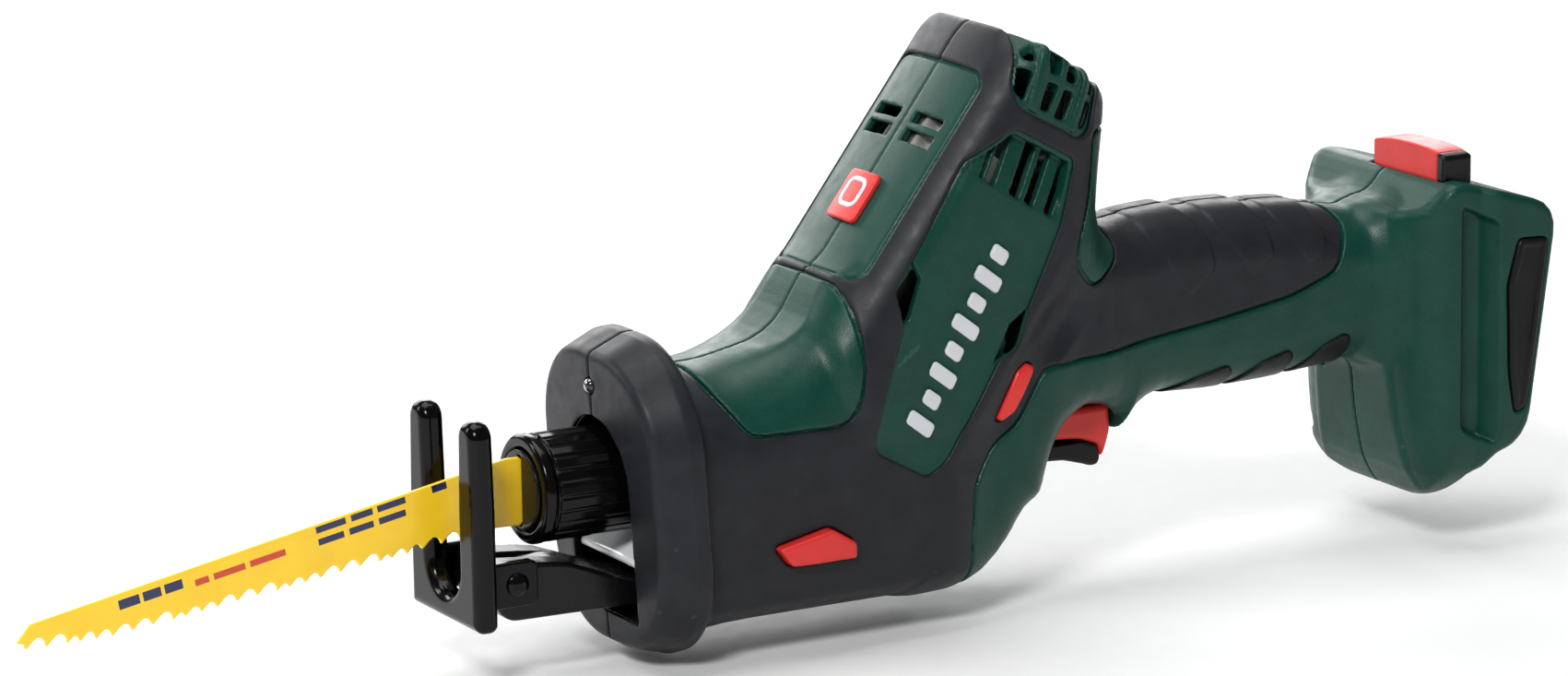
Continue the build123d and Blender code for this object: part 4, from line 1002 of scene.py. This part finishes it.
def set_camera():
    """Camera of the reference view."""
    azimuth, elevation, roll = (math.radians(a) for a in camera_turn)
    cam = bpy.data.objects.new("camera", bpy.data.cameras.new("camera"))
    bpy.context.scene.collection.objects.link(cam)
    back = Vector((math.sin(azimuth) * math.cos(elevation), -math.cos(azimuth) * math.cos(elevation),
                   math.sin(elevation)))
    right = Vector((math.cos(azimuth), math.sin(azimuth), 0))
    up = back.cross(right)
    turned_right = right * math.cos(roll) + up * math.sin(roll)
    turned_up = up * math.cos(roll) - right * math.sin(roll)
    axes = Matrix((turned_right, turned_up, back)).transposed().to_4x4()
    cam.matrix_world = Matrix.Translation(Vector(camera_place) * metre) @ axes
    cam.data.sensor_width = 36
    cam.data.lens = camera_lens
    cam.data.clip_start, cam.data.clip_end = 0.05, 50
    bpy.context.scene.camera = cam


def area_light(name, place, target, size, power):
    """Rectangular light that faces a target and doesn't show itself."""
    light = bpy.data.lights.new(name, "AREA")
    light.shape = "RECTANGLE"
    light.size, light.size_y = size
    light.energy = power
    ob = bpy.data.objects.new(name, light)
    bpy.context.scene.collection.objects.link(ob)
    ob.location = place
    ob.visible_camera = False
    ob.rotation_euler = (Vector(target) - Vector(place)).to_track_quat("-Z", "Y").to_euler()


def set_stage():
    """Pale floor, grey surroundings and large soft lights."""
    low, high = cad_box
    z = low.z - 0.5 * metre
    corners = [(a * floor_half, b * floor_half, z) for a, b in ((-1, -1), (1, -1), (1, 1), (-1, 1))]
    me = bpy.data.meshes.new("floor")
    me.from_pydata(corners, [], [(0, 1, 2, 3)])
    floor = bpy.data.objects.new("floor", me)
    bpy.context.scene.collection.objects.link(floor)
    finish = Finish("floor_pale")
    me.materials.append(finish.done(base_tint(finish, (0.86, 0.86, 0.86), 0.01), 0.85))
    world = bpy.data.worlds.new("studio")
    world.use_nodes = True
    world.node_tree.nodes["Background"].inputs["Color"].default_value = (0.94, 0.97, 1, 1)
    world.node_tree.nodes["Background"].inputs["Strength"].default_value = 0.16
    bpy.context.scene.world = world
    bpy.context.scene.view_settings.view_transform = "Standard"
    middle = (low + high) / 2
    for name, place, size, power in lights:
        area_light(name, place, middle, size, power)


# ---------------------------------------------------------------- assembly
button_split = (-24.3, 6.7)  # the release button is red between these Y values
end_split = (-24.6, 7.0)     # and black outside these
# name, field, CAD node, body, slot, and the finish where it isn't the slot's own
pieces = [
    ("trigger_body", trigger, "trigger", "trigger", "red_plastic", None),
    ("trigger_face", trigger_pad, "trigger_pad", "trigger", "soft_rubber", "grip_black"),
    ("lock_slider", lock_button, "lock_button", "lock_button", "red_plastic", None),
    ("shoe_release", shoe_lever, "shoe_lever", "shoe_lever", "red_plastic", None),
    ("battery_release", part_of(release_button, *button_split), "release_button", "release_button",
     "red_plastic", None),
    ("fork_shoe", shoe, "shoe_plate", "shoe", "gloss_black_metal", None),
    ("fork_arm", shoe_arm, "shoe_arm", "shoe_arm", "gloss_black_metal", "satin_black"),
    ("fork_pin", pivot_pin, "shoe_pivot_pin", "shoe_arm", "gloss_black_metal", None),
    ("clamp_ring", sleeve, "clamp_sleeve", "sleeve", "gloss_black_metal", None),
    ("clamp_front", clamp_core, "clamp_body", "plunger", "gloss_black_metal", "satin_black"),
    ("saw_blade", blade, "blade", "blade", "blade_yellow", None),
    ("badge", badge, "badge_plate", "housing", "red_plastic", None),
    ("bumper_left", bumper_pad, "bumper_pad_left", "housing", "black_plastic", "grip_black"),
    ("bumper_right", bumper_pad, "bumper_pad_right", "housing", "black_plastic", "grip_black"),
    ("lamp_dome", led_dome, "led_lens", "housing", "clear_lens", "lamp"),
    # the work light takes the near-white lens finish, which is a painted highlight
    ("work_light", work_light, "work_light_lens", "housing", "clear_lens", None),
]


def main():
    set_camera()
    materials = make_materials()
    materials.update(extra_materials())
    slots = {part["node"]: part["material_slot"] for part in frame["record"]["subparts"]}
    for node, ob in frame["nodes"].items():
        for slot in ob.material_slots:
            slot.material = materials[slots[node]]

    def place(ob, on, slot, replaced=(), finish=None):
        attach(ob, on)
        ob.data.materials.append(materials[finish or slot])
        if replaced:
            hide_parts(*replaced)

    housing = build_housing()
    for word in ("left", "right"):
        place(housing["nylon", word], "housing", "housing_nylon", [f"housing_{word}"])
        place(housing["rubber", word], "housing", "soft_rubber", [f"soft_grip_{word}"])
    place(housing["finger", "left"], "housing", "soft_rubber", ["finger_pads"], "grip_black")
    place(housing["finger", "right"], "housing", "soft_rubber", (), "grip_black")

    for name, field, node, on, slot, finish in pieces:
        place(build_at_node(name, field, node), on, slot, [node], finish)

    def button_ends(x, y, z):
        return np.maximum(release_button(x, y, z), -slab(y, *end_split))

    ends = build_at_node("battery_release_ends", button_ends, "release_button")
    place(ends, "release_button", "red_plastic", (), "satin_black")
    ring = build_at_node("badge_ring", badge_ring, "badge_plate")
    place(ring, "housing", "cast_aluminium", (), "print_silver")
    for side, word in ((-1, "left"), (1, "right")):
        low, high = sorted((27.0 * side, 32.0 * side))
        inlay = build_piece(f"bar_inlay_{word}", bar_inlay(side), (90, low, 0), (142, high, 75))
        place(inlay, "housing", "cast_aluminium", (), "print_silver")
    set_stage()


main()
